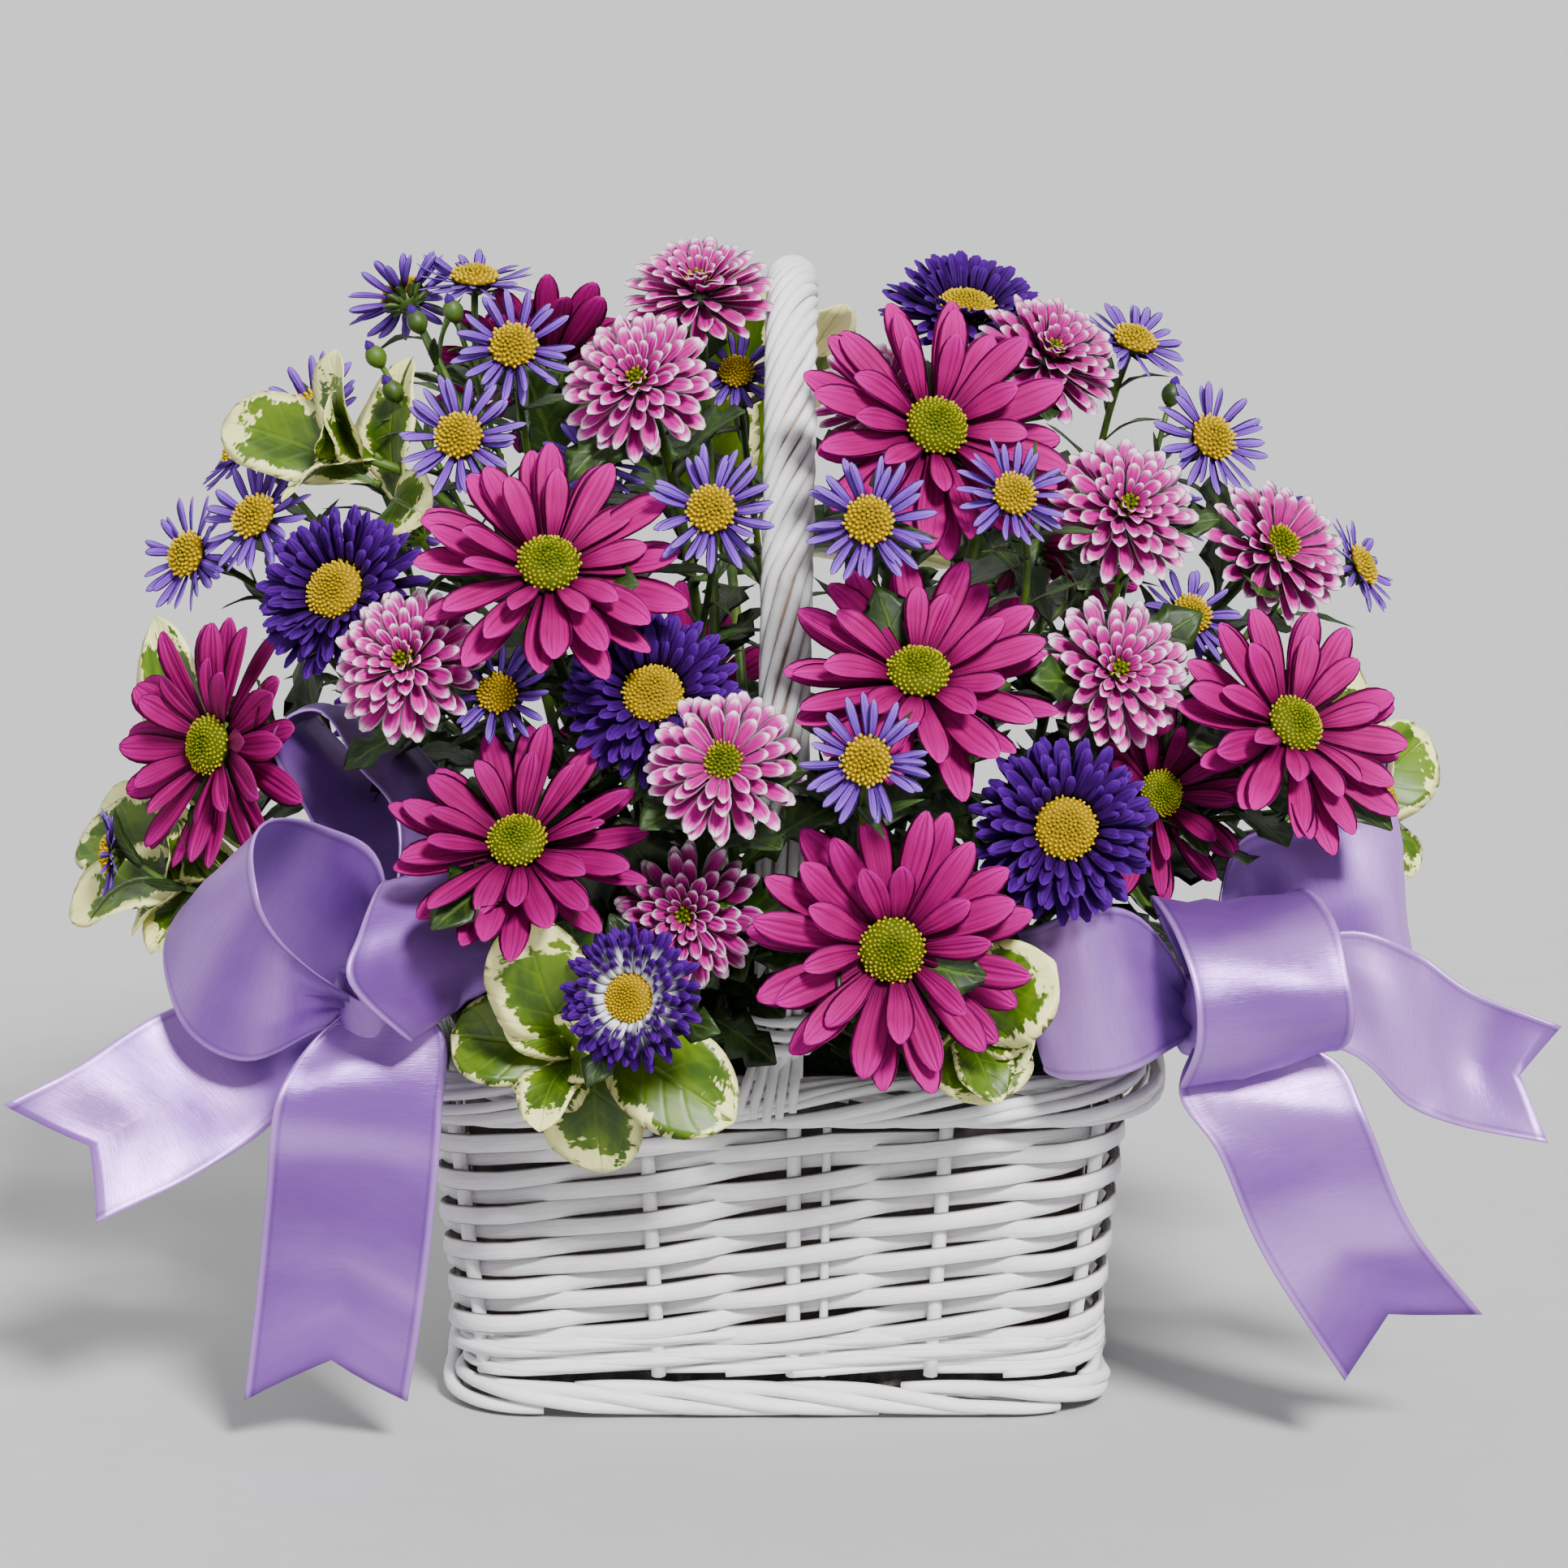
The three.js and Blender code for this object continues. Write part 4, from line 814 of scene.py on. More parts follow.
# ------------------------ stems
@dataclass(frozen=True)
class Foam:
    """The block in which the stems stand, and how they leave it."""

    half: tuple[float, float] = (68.0, 47.0)
    margin: tuple[float, float] = (8.0, 7.0)
    top: float = 94.0
    gather: float = 0.42        # how far in from its bloom a stem enters, as a share
    lean: float = 0.3
    lean_over: float = 60.0     # a stem leans by that share of its place over this height
    depth: float = 24.0         # how far a stem stands in it
    rise: float = 5.0           # its straight length above it
    curl: float = 0.35          # how far its curve follows each of its ends, as a share
    steps: int = 14             # how many stretches its free length has

    def entry(self, point: Array, nudge: Numbers = (0.0, 0.0)) -> Array:
        """Where the stem of something at a point enters the top of the foam."""
        limit = np.array(self.half) - self.margin
        flat = np.clip(self.gather * np.asarray(point)[:2], -limit, limit) + nudge
        return np.array([*flat, self.top])

    def way(self, entry: Array) -> Array:
        """The direction in which a stem leaves the foam."""
        return unit(np.array([entry[0] * self.lean, entry[1] * self.lean, self.lean_over]))

    def stem(self, entry: Array, end: Array, axis: Array, via: Numbers | None = None) -> Array:
        """The line of a stem from its foot in the foam to the back of a bloom.

        Args:
            entry: where it enters the foam.
            end: where it ends.
            axis: the direction in which it arrives.
            via: a place that it bends towards.

        Returns:
            The points of its middle line.
        """
        way = self.way(entry)
        rise = entry + way * self.rise
        if via is not None:
            curve = bezier([rise, np.array(via, float), end], self.steps)
        else:
            reach = np.linalg.norm(end - rise)
            bend = self.curl * reach
            curve = bezier([rise, rise + way * bend, end - axis * bend, end], self.steps)
        return np.vstack([entry - way * self.depth, entry, curve])


FOAM = Foam()


class LeafKind(Enum):
    """The outlines of the leaves: how far along, and how wide there."""

    LOBED = ((0, 0.06), (0.16, 0.16), (0.26, 0.2), (0.34, 0.86), (0.42, 0.66), (0.5, 0.46), (0.58, 0.98),
             (0.66, 0.72), (0.73, 0.5), (0.8, 0.74), (0.88, 0.48), (0.95, 0.26), (1, 0.05))
    NARROW = ((0, 0.2), (0.14, 0.62), (0.34, 1), (0.55, 0.9), (0.76, 0.58), (0.92, 0.26), (1, 0.06))
    OVAL = ((0, 0.07), (0.07, 0.13), (0.17, 0.42), (0.3, 0.74), (0.44, 0.93), (0.58, 1), (0.7, 0.97),
            (0.81, 0.83), (0.89, 0.63), (0.95, 0.4), (0.985, 0.2), (1, 0.05))

    def half_widths(self, width: float, rows: int) -> tuple[Array, Array]:
        """The places along the leaf and its half widths there.

        Args:
            width: its full width.
            rows: how many stretches it is cut into.

        Returns:
            The shares of its length, and the half widths.
        """
        places, shares = np.array(self.value, float).T
        t = np.linspace(0.0, 1.0, rows + 1)
        t = t + 0.06 * np.sin(2 * math.pi * t) / math.pi
        return t, 0.5 * width * np.interp(t, places, shares)


def leaf(sketch: Sketch, kind: LeafKind, base: Array, point: Array, width: float, up: Array,
         rng: Chance, finish: int, tone: Numbers, arch: float = 0.12, wave: float = 1.0,
         rows: int = 12, columns: int = 6) -> None:
    """Adds a leaf.

    Args:
        sketch: the piece that it belongs to.
        kind: its outline.
        base: the foot of its stalk.
        point: its tip.
        width: its full width.
        up: roughly the way that its upper face looks.
        rng: the source of chance.
        finish: the number of its finish.
        tone: its tint, its heart and its chance number.
        arch: how far it arches, as a share of its length.
        wave: how far its edges wave, in millimetres.
        rows: how many stretches it has along.
        columns: how many strips it has across.
    """
    along = point - base
    length = np.linalg.norm(along)
    side = unit(np.cross(along, up))
    face = unit(np.cross(side, along))
    t, half = kind.half_widths(width, rows)
    sway = rng.uniform(-0.05, 0.05) * length
    spine = (base + along * t[:, None] + face * (arch * length * np.sin(math.pi * t))[:, None]
             + side * (sway * np.sin(math.pi * t))[:, None])
    s = np.linspace(-1.0, 1.0, columns + 1)
    turns, start = rng.uniform(1.3, 2.2), rng.uniform(0, 2 * math.pi)
    lift = (wave * np.sin(2 * math.pi * turns * t[:, None] + start + 1.3 * np.sign(s))
            * s ** 2 * np.sin(math.pi * t)[:, None] ** 0.6)
    lift = lift + 0.16 * half[:, None] * np.abs(s)
    sketch.blade(spine, face, half, tone, finish, columns, 0.5, 0.06, lift)


def clothe(sketch: Sketch, path: Array, kind: LeafKind, count: int, length: float, width: float,
           rng: Chance, start: float, stop: float = 0.93) -> None:
    """Adds the leaves that stand along a stem, each turned on from the last.

    Args:
        sketch: the piece that they belong to.
        path: the stem's middle line.
        kind: their outline.
        count: how many there are.
        length: how long the largest is.
        width: how wide the largest is.
        rng: the source of chance.
        start: how far up the stem the first stands.
        stop: how far up the stem the last stands.
    """
    turn = rng.uniform(0, 2 * math.pi)
    for k in range(count):
        place = mix(start, stop, (k + 0.5) / count) * (len(path) - 1)
        low = min(int(place), len(path) - 2)
        base = mix(path[low], path[low + 1], place - low)
        axis = unit(path[low + 1] - path[low])
        u, v, _ = bloom_axes(axis)
        turn += GOLDEN_TURN + rng.uniform(-0.4, 0.4)
        out = unit(u * math.cos(turn) + v * math.sin(turn) + 0.35 * unit(np.array([base[0], base[1], 1.0])))
        size = rng.uniform(0.75, 1.1)
        rise = rng.uniform(0.15, 0.75)
        tip = base + unit(out + axis * rise) * length * size
        leaf(sketch, kind, base, tip, width * size, unit(axis - out * 0.4), rng, LEAVES,
             (rng.uniform(0.0, 0.55), 1.0, rng.random()), arch=rng.uniform(0.04, 0.16), wave=0.08 * width,
             rows=12 if kind is LeafKind.LOBED else 8, columns=4)


# ------------------------ blooms
class PetalKind(Enum):
    """The outlines of the petals: how far along, and how wide there."""

    BLUNT = ((0, 0.34), (0.16, 0.5), (0.38, 0.8), (0.6, 1), (0.76, 0.97), (0.88, 0.76), (0.95, 0.5),
             (1, 0.16))
    SPOON = ((0, 0.4), (0.3, 0.62), (0.6, 0.92), (0.8, 1), (0.92, 0.78), (1, 0.3))
    STRAP = ((0, 0.5), (0.3, 0.86), (0.6, 1), (0.82, 0.9), (0.94, 0.6), (1, 0.2))


@dataclass(frozen=True)
class Whorl:
    """One round of petals, for a bloom of radius one: lengths are shares of the radius, angles degrees."""

    count: int
    start: float
    height: float
    length: float
    half_width: float
    rise: float
    curl: float
    cup: float = 0.2
    chance: float = 1.0
    shade: float = 1.0

    def grow(self, sketch: Sketch, bloom: "Bloom", kind: PetalKind, rng: Chance,
             finish: int, tone: Numbers, rows: int, columns: int) -> None:
        """Adds its petals to a bloom.

        Args:
            sketch: the piece that they belong to.
            bloom: the bloom that they stand on.
            kind: their outline.
            rng: the source of chance.
            finish: the number of their finish.
            tone: the bloom's tint and heart.
            rows: how many stretches a petal has along.
            columns: how many strips a petal has across.
        """
        u, v, w = bloom.axes
        places, shares = np.array(kind.value, float).T
        t = 1.0 - (1.0 - np.linspace(0.0, 1.0, rows + 1)) ** 1.35
        first = rng.random()
        for k in range(self.count):
            turn = 2 * math.pi * (k + first + rng.uniform(-0.16, 0.16) * self.chance) / self.count
            radial = u * math.cos(turn) + v * math.sin(turn)
            level = -u * math.sin(turn) + v * math.cos(turn)
            length = bloom.radius * self.length * rng.uniform(1 - 0.1 * self.chance, 1.0)
            rise = self.rise + rng.uniform(-6, 6) * self.chance
            curl = self.curl + rng.uniform(-12, 12) * self.chance
            angle = np.radians(rise + curl * t ** 1.4)
            drift = rng.uniform(-0.14, 0.14) * self.chance
            heading = (radial[None] * np.cos(angle)[:, None] + w[None] * np.sin(angle)[:, None]
                       + level[None] * (drift * t)[:, None])
            steps = np.diff(t)[:, None] * 0.5 * (heading[1:] + heading[:-1]) * length
            base = bloom.at + radial * self.start * bloom.radius + w * self.height * bloom.radius
            spine = np.vstack([base, base + np.cumsum(steps, axis=0)])
            roll = math.radians(rng.uniform(-14, 14) * self.chance)
            up = -radial * math.sin(math.radians(rise)) + w * math.cos(math.radians(rise))
            up = up * math.cos(roll) + level * math.sin(roll)
            half = bloom.radius * self.half_width * rng.uniform(0.88, 1.06) * np.interp(t, places, shares)
            # painted shade: each petal is darker towards its foot among the others, by a random amount
            shade = self.shade * mix(0.75 + 0.25 * rng.random(), 1.0, t)
            cup = self.cup * rng.uniform(0.5, 1.4)
            s = np.linspace(-1.0, 1.0, columns + 1)
            furrow = -0.07 * bloom.radius * self.half_width * np.cos(2.2 * math.pi * s)[None] * np.sin(
                math.pi * np.clip(t, 0, 1))[:, None]
            sketch.blade(spine, up, half, (*tone, rng.random()), finish, columns, 0.4, cup,
                         furrow if columns > 2 else None, shade)


@dataclass(frozen=True)
class Disc:
    """The dome of florets at a bloom's middle, for a bloom of radius one."""

    radius: float
    low: float
    rise: float
    florets: int
    floret_radius: float
    floret_height: float
    spread: float = 0.9

    def grow(self, sketch: Sketch, bloom: "Bloom", rng: Chance, finish: int) -> None:
        """Adds the dome and its florets.

        Args:
            sketch: the piece that they belong to.
            bloom: the bloom that they stand on.
            rng: the source of chance.
            finish: the number of their finish.
        """
        u, v, w = bloom.axes
        r = bloom.radius
        dome = np.array([(0.7, -0.12), (1.0, 0.0), (0.98, 0.3), (0.8, 0.68), (0.5, 0.9), (0.18, 0.98)])
        round_it = spokes(u, v, full_circle(12))
        middles = bloom.at + w * ((self.low + self.rise * dome[:, 1]) * r)[:, None]
        rings = middles[:, None] + round_it[None] * (dome[:, 0] * self.radius * r)[:, None, None]
        sketch.sleeves(rings, reading_of(rings, 0.0, 0.0, 0.5), (0.4, 0.0, 0.5), finish)
        i = np.arange(self.florets)
        share = np.sqrt((i + 0.5) / self.florets)
        out = spokes(u, v, i * GOLDEN_TURN)
        height = self.low + self.rise * (1.0 - share ** 2.4)
        foot = bloom.at + out * (share * self.radius * 0.97 * r)[:, None] + w * (height * r)[:, None]
        lean = unit(w + out * (self.spread * share ** 1.5)[:, None] + rng.normal(0, 0.1, (self.florets, 3)))
        level = unit(np.cross(lean, u + 0.3 * v))
        other = np.cross(lean, level)
        corner = full_circle(4)
        ring = (level[:, None] * np.cos(corner)[None, :, None]
                + other[:, None] * np.sin(corner)[None, :, None])
        tall = self.floret_height * r * (0.7 + 0.5 * rng.random(self.florets)) * (0.8 + 0.4 * share)
        profile = np.array([(0.85, -0.3), (1.0, 0.45), (0.9, 0.85), (0.3, 1.05)])
        wide = self.floret_radius * r
        rings = (foot[:, None, None] + ring[:, None] * (profile[:, 0] * wide)[None, :, None, None]
                 + lean[:, None, None] * (profile[:, 1][None] * tall[:, None])[..., None, None])
        reading = reading_of(rings, np.array([0.0, 0.5, 0.85, 1.0])[:, None], 0.0, 1.0)
        tone = np.stack([share, np.zeros(self.florets), rng.random(self.florets)], axis=1)
        sketch.sleeves(rings, reading, tone, finish)


@dataclass(frozen=True)
class BloomStyle:
    """What all blooms of one kind share."""

    radius: float
    back: float
    stem: float
    whorls: tuple[Whorl, ...]
    petal: PetalKind
    disc: Disc
    petal_finish: str
    disc_finish: str
    slot: str
    calyx: float
    rows: int
    columns: int
    leaf: LeafKind
    leaves: int
    leaf_length: float
    leaf_width: float


class Kind(Enum):
    """The kinds of bloom in the basket."""

    DAISY = BloomStyle(
        34.0, 5.0, 1.4,
        (Whorl(13, 0.16, -0.02, 0.85, 0.125, 0, 8, 0.24, 1.2),
         Whorl(12, 0.16, 0.02, 0.8, 0.122, 12, 0, 0.3, 1.3),
         Whorl(9, 0.17, 0.05, 0.56, 0.1, 30, -10, 0.4, 1.6)),
        PetalKind.BLUNT, Disc(0.215, 0.08, 0.11, 190, 0.0125, 0.026), "magenta_petal", "green_disc",
        "daisy_petal", 6.0, 9, 4, LeafKind.LOBED, 15, 36.0, 21.0)
    VIOLET = BloomStyle(
        23.0, 5.0, 1.3,
        (Whorl(24, 0.22, -0.04, 0.75, 0.082, -4, 14, 0.4, 1.3),
         Whorl(24, 0.24, 0.02, 0.71, 0.08, 12, 4, 0.4, 1.3),
         Whorl(23, 0.26, 0.08, 0.62, 0.076, 28, -6, 0.4, 1.3),
         Whorl(21, 0.28, 0.12, 0.5, 0.07, 44, -18, 0.4, 1.3),
         Whorl(19, 0.3, 0.14, 0.33, 0.06, 60, -34, 0.4, 1.3)),
        PetalKind.SPOON, Disc(0.31, 0.14, 0.12, 170, 0.0175, 0.042), "violet_petal", "golden_disc",
        "violet_petal", 5.0, 5, 2, LeafKind.LOBED, 11, 30.0, 14.0)
    MUM = BloomStyle(
        19.0, 4.5, 1.3,
        (Whorl(17, 0.2, 0.0, 0.82, 0.118, 0, 6, 0.5), Whorl(16, 0.2, 0.08, 0.78, 0.116, 14, 0, 0.5),
         Whorl(15, 0.18, 0.16, 0.68, 0.11, 28, -6, 0.5), Whorl(14, 0.16, 0.24, 0.56, 0.1, 44, -16, 0.5),
         Whorl(12, 0.14, 0.3, 0.42, 0.085, 60, -26, 0.5), Whorl(9, 0.1, 0.34, 0.28, 0.06, 74, -30, 0.5)),
        PetalKind.SPOON, Disc(0.13, 0.34, 0.06, 18, 0.026, 0.07), "cushion_petal", "green_disc",
        "mum_petal", 4.5, 6, 4, LeafKind.LOBED, 8, 32.0, 18.0)
    SMALL = BloomStyle(
        15.5, 3.0, 0.9,
        (Whorl(15, 0.3, 0.02, 0.74, 0.082, 2, 8, 0.25, 1.7),
         Whorl(9, 0.3, 0.06, 0.66, 0.078, 16, -4, 0.25, 1.8)),
        PetalKind.STRAP, Disc(0.36, 0.1, 0.15, 96, 0.03, 0.075), "aster_petal", "golden_disc",
        "aster_petal", 3.4, 6, 2, LeafKind.NARROW, 12, 20.0, 3.8)


OPEN_DISC = Disc(0.26, 0.26, 0.1, 90, 0.02, 0.06)      # of a cushion bloom that has opened to its heart


@dataclass(frozen=True)
class Spot:
    """Where a bloom stands, which way it looks, and what else is its own."""

    place: Numbers                  # the pixel of its middle in the reference view, or a place behind
    face: Numbers                   # how far it is turned to the right and raised, in degrees
    lift: float = 0.0               # how far it stands in front of the dome
    size: float = 1.0
    # painted shade: how far its petals are darkened, for a bloom in shadow or turned away
    tint: float = 0.0
    nudge: Numbers = (0.0, 0.0)     # how its foot is moved
    via: Numbers | None = None      # a place that its stem bends towards
    heart: float = 0.0              # how pale its heart is
    open_heart: bool = False        # whether it has opened to its disc


@dataclass
class Bloom:
    """One bloom: its kind, its place and the way that it looks."""

    kind: Kind
    at: Array
    axis: Array
    radius: float
    spot: Spot

    @property
    def axes(self) -> Array:
        """Its three axes, the last of which points out of its face."""
        return bloom_axes(self.axis)

    @property
    def back(self) -> Array:
        """Where its stem arrives."""
        return self.at - self.axis * self.kind.value.back

    def head(self, sketch: Sketch, rng: Chance, with_disc: bool = True) -> None:
        """Adds its petals, its disc and the green cup behind them.

        Args:
            sketch: the piece that they belong to.
            rng: the source of chance.
            with_disc: whether the disc is part of this piece.
        """
        style = self.kind.value
        spot = self.spot
        for whorl in style.whorls[:-2] if spot.open_heart else style.whorls:
            whorl.grow(sketch, self, style.petal, rng, PETALS, (spot.tint, spot.heart), style.rows,
                       style.columns)
        if with_disc:
            disc = OPEN_DISC if spot.open_heart else style.disc
            disc.grow(sketch, self, rng, FLORETS)
        u, v, w = self.axes
        cup = np.array([(style.stem, -style.back), (0.62 * style.calyx, -0.75 * style.back),
                        (style.calyx, -0.3 * style.back), (style.calyx * 1.02, -0.02 * style.back)])
        rings = ((self.at + w * cup[:, 1][:, None])[:, None]
                 + spokes(u, v, full_circle(10))[None] * cup[:, 0][:, None, None])
        sketch.sleeves(rings, reading_of(rings, 0.5, 0.5, 0.5), (0.2, 0.0, rng.random()), GREEN)
        bract = Whorl(11, style.calyx * 0.7 / self.radius, -0.6 * style.back / self.radius,
                      style.calyx * 1.3 / self.radius, 1.1 / self.radius, 35, -28, 0.2)
        bract.grow(sketch, self, PetalKind.STRAP, rng, GREEN, (0.3, 0.0), 4, 2)


BLOOMS: dict[str, Spot] = {
    "daisy_1": Spot((675, 703), (8, 42), 8),
    "daisy_2": Spot((1150, 532), (18, 34), 2, nudge=(5, 5)),
    "daisy_3": Spot((1131, 838), (5, 50), -1, nudge=(2, 9)),
    "daisy_4": Spot((1098, 1168), (3, 6), 8, size=1.03, tint=0.08),
    "daisy_5": Spot((1588, 898), (34, 34), 14, size=0.95, nudge=(4, 8), via=(100, -34, 142)),
    "daisy_6": Spot((268, 918), (-46, 12), -12, size=0.97, tint=0.25),
    "daisy_7": Spot((639, 1044), (-6, 44), 4, size=0.94, tint=0.25),
    "daisy_8": Spot((-58, 48, 240), (-170, 40), size=0.9, tint=0.35),
    "daisy_9": Spot((1424, 978), (26, 14), -15, size=0.76, nudge=(4, -5), tint=0.35),
    "daisy_10": Spot((62, 84, 190), (150, 24)),
    "daisy_11": Spot((-26, 98, 144), (-170, 6), nudge=(-6, 0)),
    "violet_1": Spot((420, 733), (-24, 30), -5),
    "violet_2": Spot((805, 862), (0, 34), -9, nudge=(2, 8)),
    "violet_3": Spot((1310, 1022), (8, 16), 1, size=1.03),
    "violet_4": Spot((780, 1230), (-18, 14), 14, size=0.8, via=(-24, -78, 105), heart=1.0),
    "violet_5": Spot((1190, 392), (20, 66), -62, nudge=(-3, 0)),
    "violet_6": Spot((-96, 74, 150), (-130, 14)),
    "mum_1": Spot((862, 372), (-6, 62), -10),
    "mum_2": Spot((790, 480), (-14, 34)),
    "mum_3": Spot((507, 822), (-18, 26), 8),
    "mum_4": Spot((893, 948), (-4, 30), 14, open_heart=True),
    "mum_5": Spot((850, 1126), (-10, 10), -12, size=0.96, tint=0.2),
    "mum_6": Spot((1380, 635), (18, 34), 4),
    "mum_7": Spot((1370, 832), (14, 24), -1),
    "mum_8": Spot((1565, 683), (36, 38), -6, open_heart=True),
    "mum_9": Spot((1285, 450), (30, 46), -22, tint=0.12),
    "mum_10": Spot((26, 68, 228), (175, 40)),
    "mum_11": Spot((112, 70, 140), (125, 16)),
    "small_1": Spot((500, 370), (-150, 34), -30),
    "small_2": Spot((585, 350), (10, 78), -24),
    "small_3": Spot((633, 430), (0, 34), -6),
    "small_4": Spot((567, 540), (-8, 30), 4),
    "small_5": Spot((388, 512), (-30, 20), -6),
    "small_6": Spot((318, 640), (-34, 34)),
    "small_7": Spot((237, 685), (-46, 20), -4),
    "small_8": Spot((300, 556), (-80, 40), -22, size=0.9),
    "small_9": Spot((877, 630), (-4, 26), 8),
    "small_10": Spot((1070, 643), (4, 22), 20, via=(20, -48, 238)),
    "small_11": Spot((1247, 612), (20, 30), 22, size=0.9, via=(72, -66, 205)),
    "small_12": Spot((1068, 938), (0, 12), 26, via=(18, -98, 138)),
    "small_13": Spot((614, 856), (-6, 24), -1, size=0.82, tint=0.15),
    "small_14": Spot((1465, 760), (26, 34), -12, size=0.85),
    "small_15": Spot((1395, 425), (34, 60), -20, size=0.95),
    "small_16": Spot((1490, 543), (32, 30), -6),
    "small_17": Spot((1672, 700), (70, 28), -20, size=0.9),
    "small_18": Spot((735, 570), (-4, 50), -22, size=0.9),
    "small_19": Spot((908, 462), (-4, 40), -46, size=0.75),
    "small_20": Spot((1700, 985), (80, 10), -20, size=0.85),
    "small_21": Spot((140, 1052), (-86, 0), 26, size=0.76, via=(-136, -56, 118), tint=0.3),
    "small_22": Spot((-92, 62, 196), (-130, 40)),
    "small_23": Spot((30, 96, 146), (170, 10)),
    "small_24": Spot((96, 52, 206), (120, 44)),
    "small_25": Spot((-52, 90, 178), (-160, 26)),
}


def bloom_named(name: str) -> Bloom:
    """A bloom worked out from its row of the table."""
    spot, kind = BLOOMS[name], Kind[name.split("_")[0].upper()]
    at = VIEW.on_dome(*spot.place, spot.lift) if len(spot.place) == 2 else np.array(spot.place, float)
    return Bloom(kind, at, facing(*spot.face), kind.value.radius * spot.size, spot)


@dataclass(frozen=True)
class Spray:
    """What one spray consists of."""

    blooms: tuple[str, ...]
    nudge: Numbers = (0.0, 0.0)         # how its foot is moved
    fork: float = 0.35                  # how far up to its blooms it forks
    buds: tuple[Numbers, ...] = ()      # the pixel and depth of each bud


SPRAYS: dict[str, Spray] = {
    "mum_spray_top": Spray(("mum_1", "mum_2"), nudge=(2, -4)),
    "mum_spray_left": Spray(("mum_3",)),
    "mum_spray_centre": Spray(("mum_4", "mum_5")),
    "mum_spray_right": Spray(("mum_6", "mum_7", "mum_8")),
    "mum_spray_back": Spray(("mum_9", "mum_10", "mum_11")),
    "aster_spray_top": Spray(
        ("small_1", "small_2", "small_3", "small_4"),
        buds=((563, 397, -18), (471, 452, -10), (492, 494, -14), (520, 410, -6))),
    "aster_spray_left": Spray(("small_5", "small_6", "small_7", "small_8", "small_21")),
    "aster_spray_centre": Spray(("small_9", "small_13", "small_18"), nudge=(-11, 8)),
    "aster_spray_middle": Spray(("small_10", "small_11", "small_12"), nudge=(6, 0), fork=0.2),
    "aster_spray_right": Spray(
        ("small_14", "small_15", "small_16", "small_17", "small_20"),
        nudge=(2, 19), buds=((1440, 500, 16), (1580, 640, 4))),
    "aster_spray_back": Spray(
        ("small_19", "small_22", "small_23", "small_24", "small_25"),
        nudge=(12, -10)),
}


@dataclass(frozen=True)
class Leafage:
    """What one leafy stem consists of."""

    crown: Numbers                      # where its leaves start, as a pixel and a depth
    leaves: tuple[Numbers, ...]         # the pixel and depth of each leaf's tip, and its width
    nudge: Numbers = (0.0, 0.0)         # how its foot is moved
    skirt: tuple[Numbers, ...] = ()     # the place of each low leaf's tip, over the foam, and its width


LEAFY: dict[str, Leafage] = {
    "pittosporum_front_left": Leafage((705, 1302, -100), (
        (646, 1126, -112, 26), (556, 1274, -92, 24), (640, 1352, -100, 28), (742, 1445, -92, 24),
        (905, 1382, -104, 26))),
    "pittosporum_front_right": Leafage((1190, 1270, -92), (
        (1300, 1185, -104, 26), (1215, 1362, -100, 26), (1262, 1318, -96, 20)), nudge=(14, 4)),
    "pittosporum_left": Leafage((252, 1075, -22), (
        (85, 1126, -18, 24), (100, 1030, 10, 22), (185, 1176, -34, 22), (128, 985, 26, 22),
        (190, 760, 4, 24)), skirt=((-110, -6, 101, 26), (-98, -36, 100, 24))),
    "pittosporum_top": Leafage((440, 560, -20), (
        (415, 430, -24, 22), (275, 520, 0, 22), (530, 640, -48, 20), (505, 440, -4, 22))),
    "pittosporum_right": Leafage((1640, 1010, -10), (
        (1745, 1080, -14, 24), (1760, 905, 4, 24), (1735, 1150, 16, 24),
        (1660, 800, 22, 22)), nudge=(0, -3), skirt=((108, 4, 100, 28), (104, -34, 101, 24))),
    "pittosporum_back": Leafage((890, 640, 90), (
        (885, 318, 60, 26), (1040, 375, 62, 26), (870, 455, 66, 30), (1180, 700, 92, 26)), nudge=(0, -3)),
}


LEAFY_STEM = 1.3                         # the radius of a main stem
FORK_DROP = 1.5                          # how far below the fork a stalk starts
YOUNG_LEAVES = 4                         # the small leaves at the tip of a leafy stem
BASAL_LEAVES = 5                         # the leaves low on each stem
BASAL_REACH = (77.0, 56.0, 20.0)         # the loop over which they hang


def seeded(name: str) -> Chance:
    """The source of chance for one piece, which depends on its name alone."""
    return np.random.default_rng([ord(letter) for letter in name])


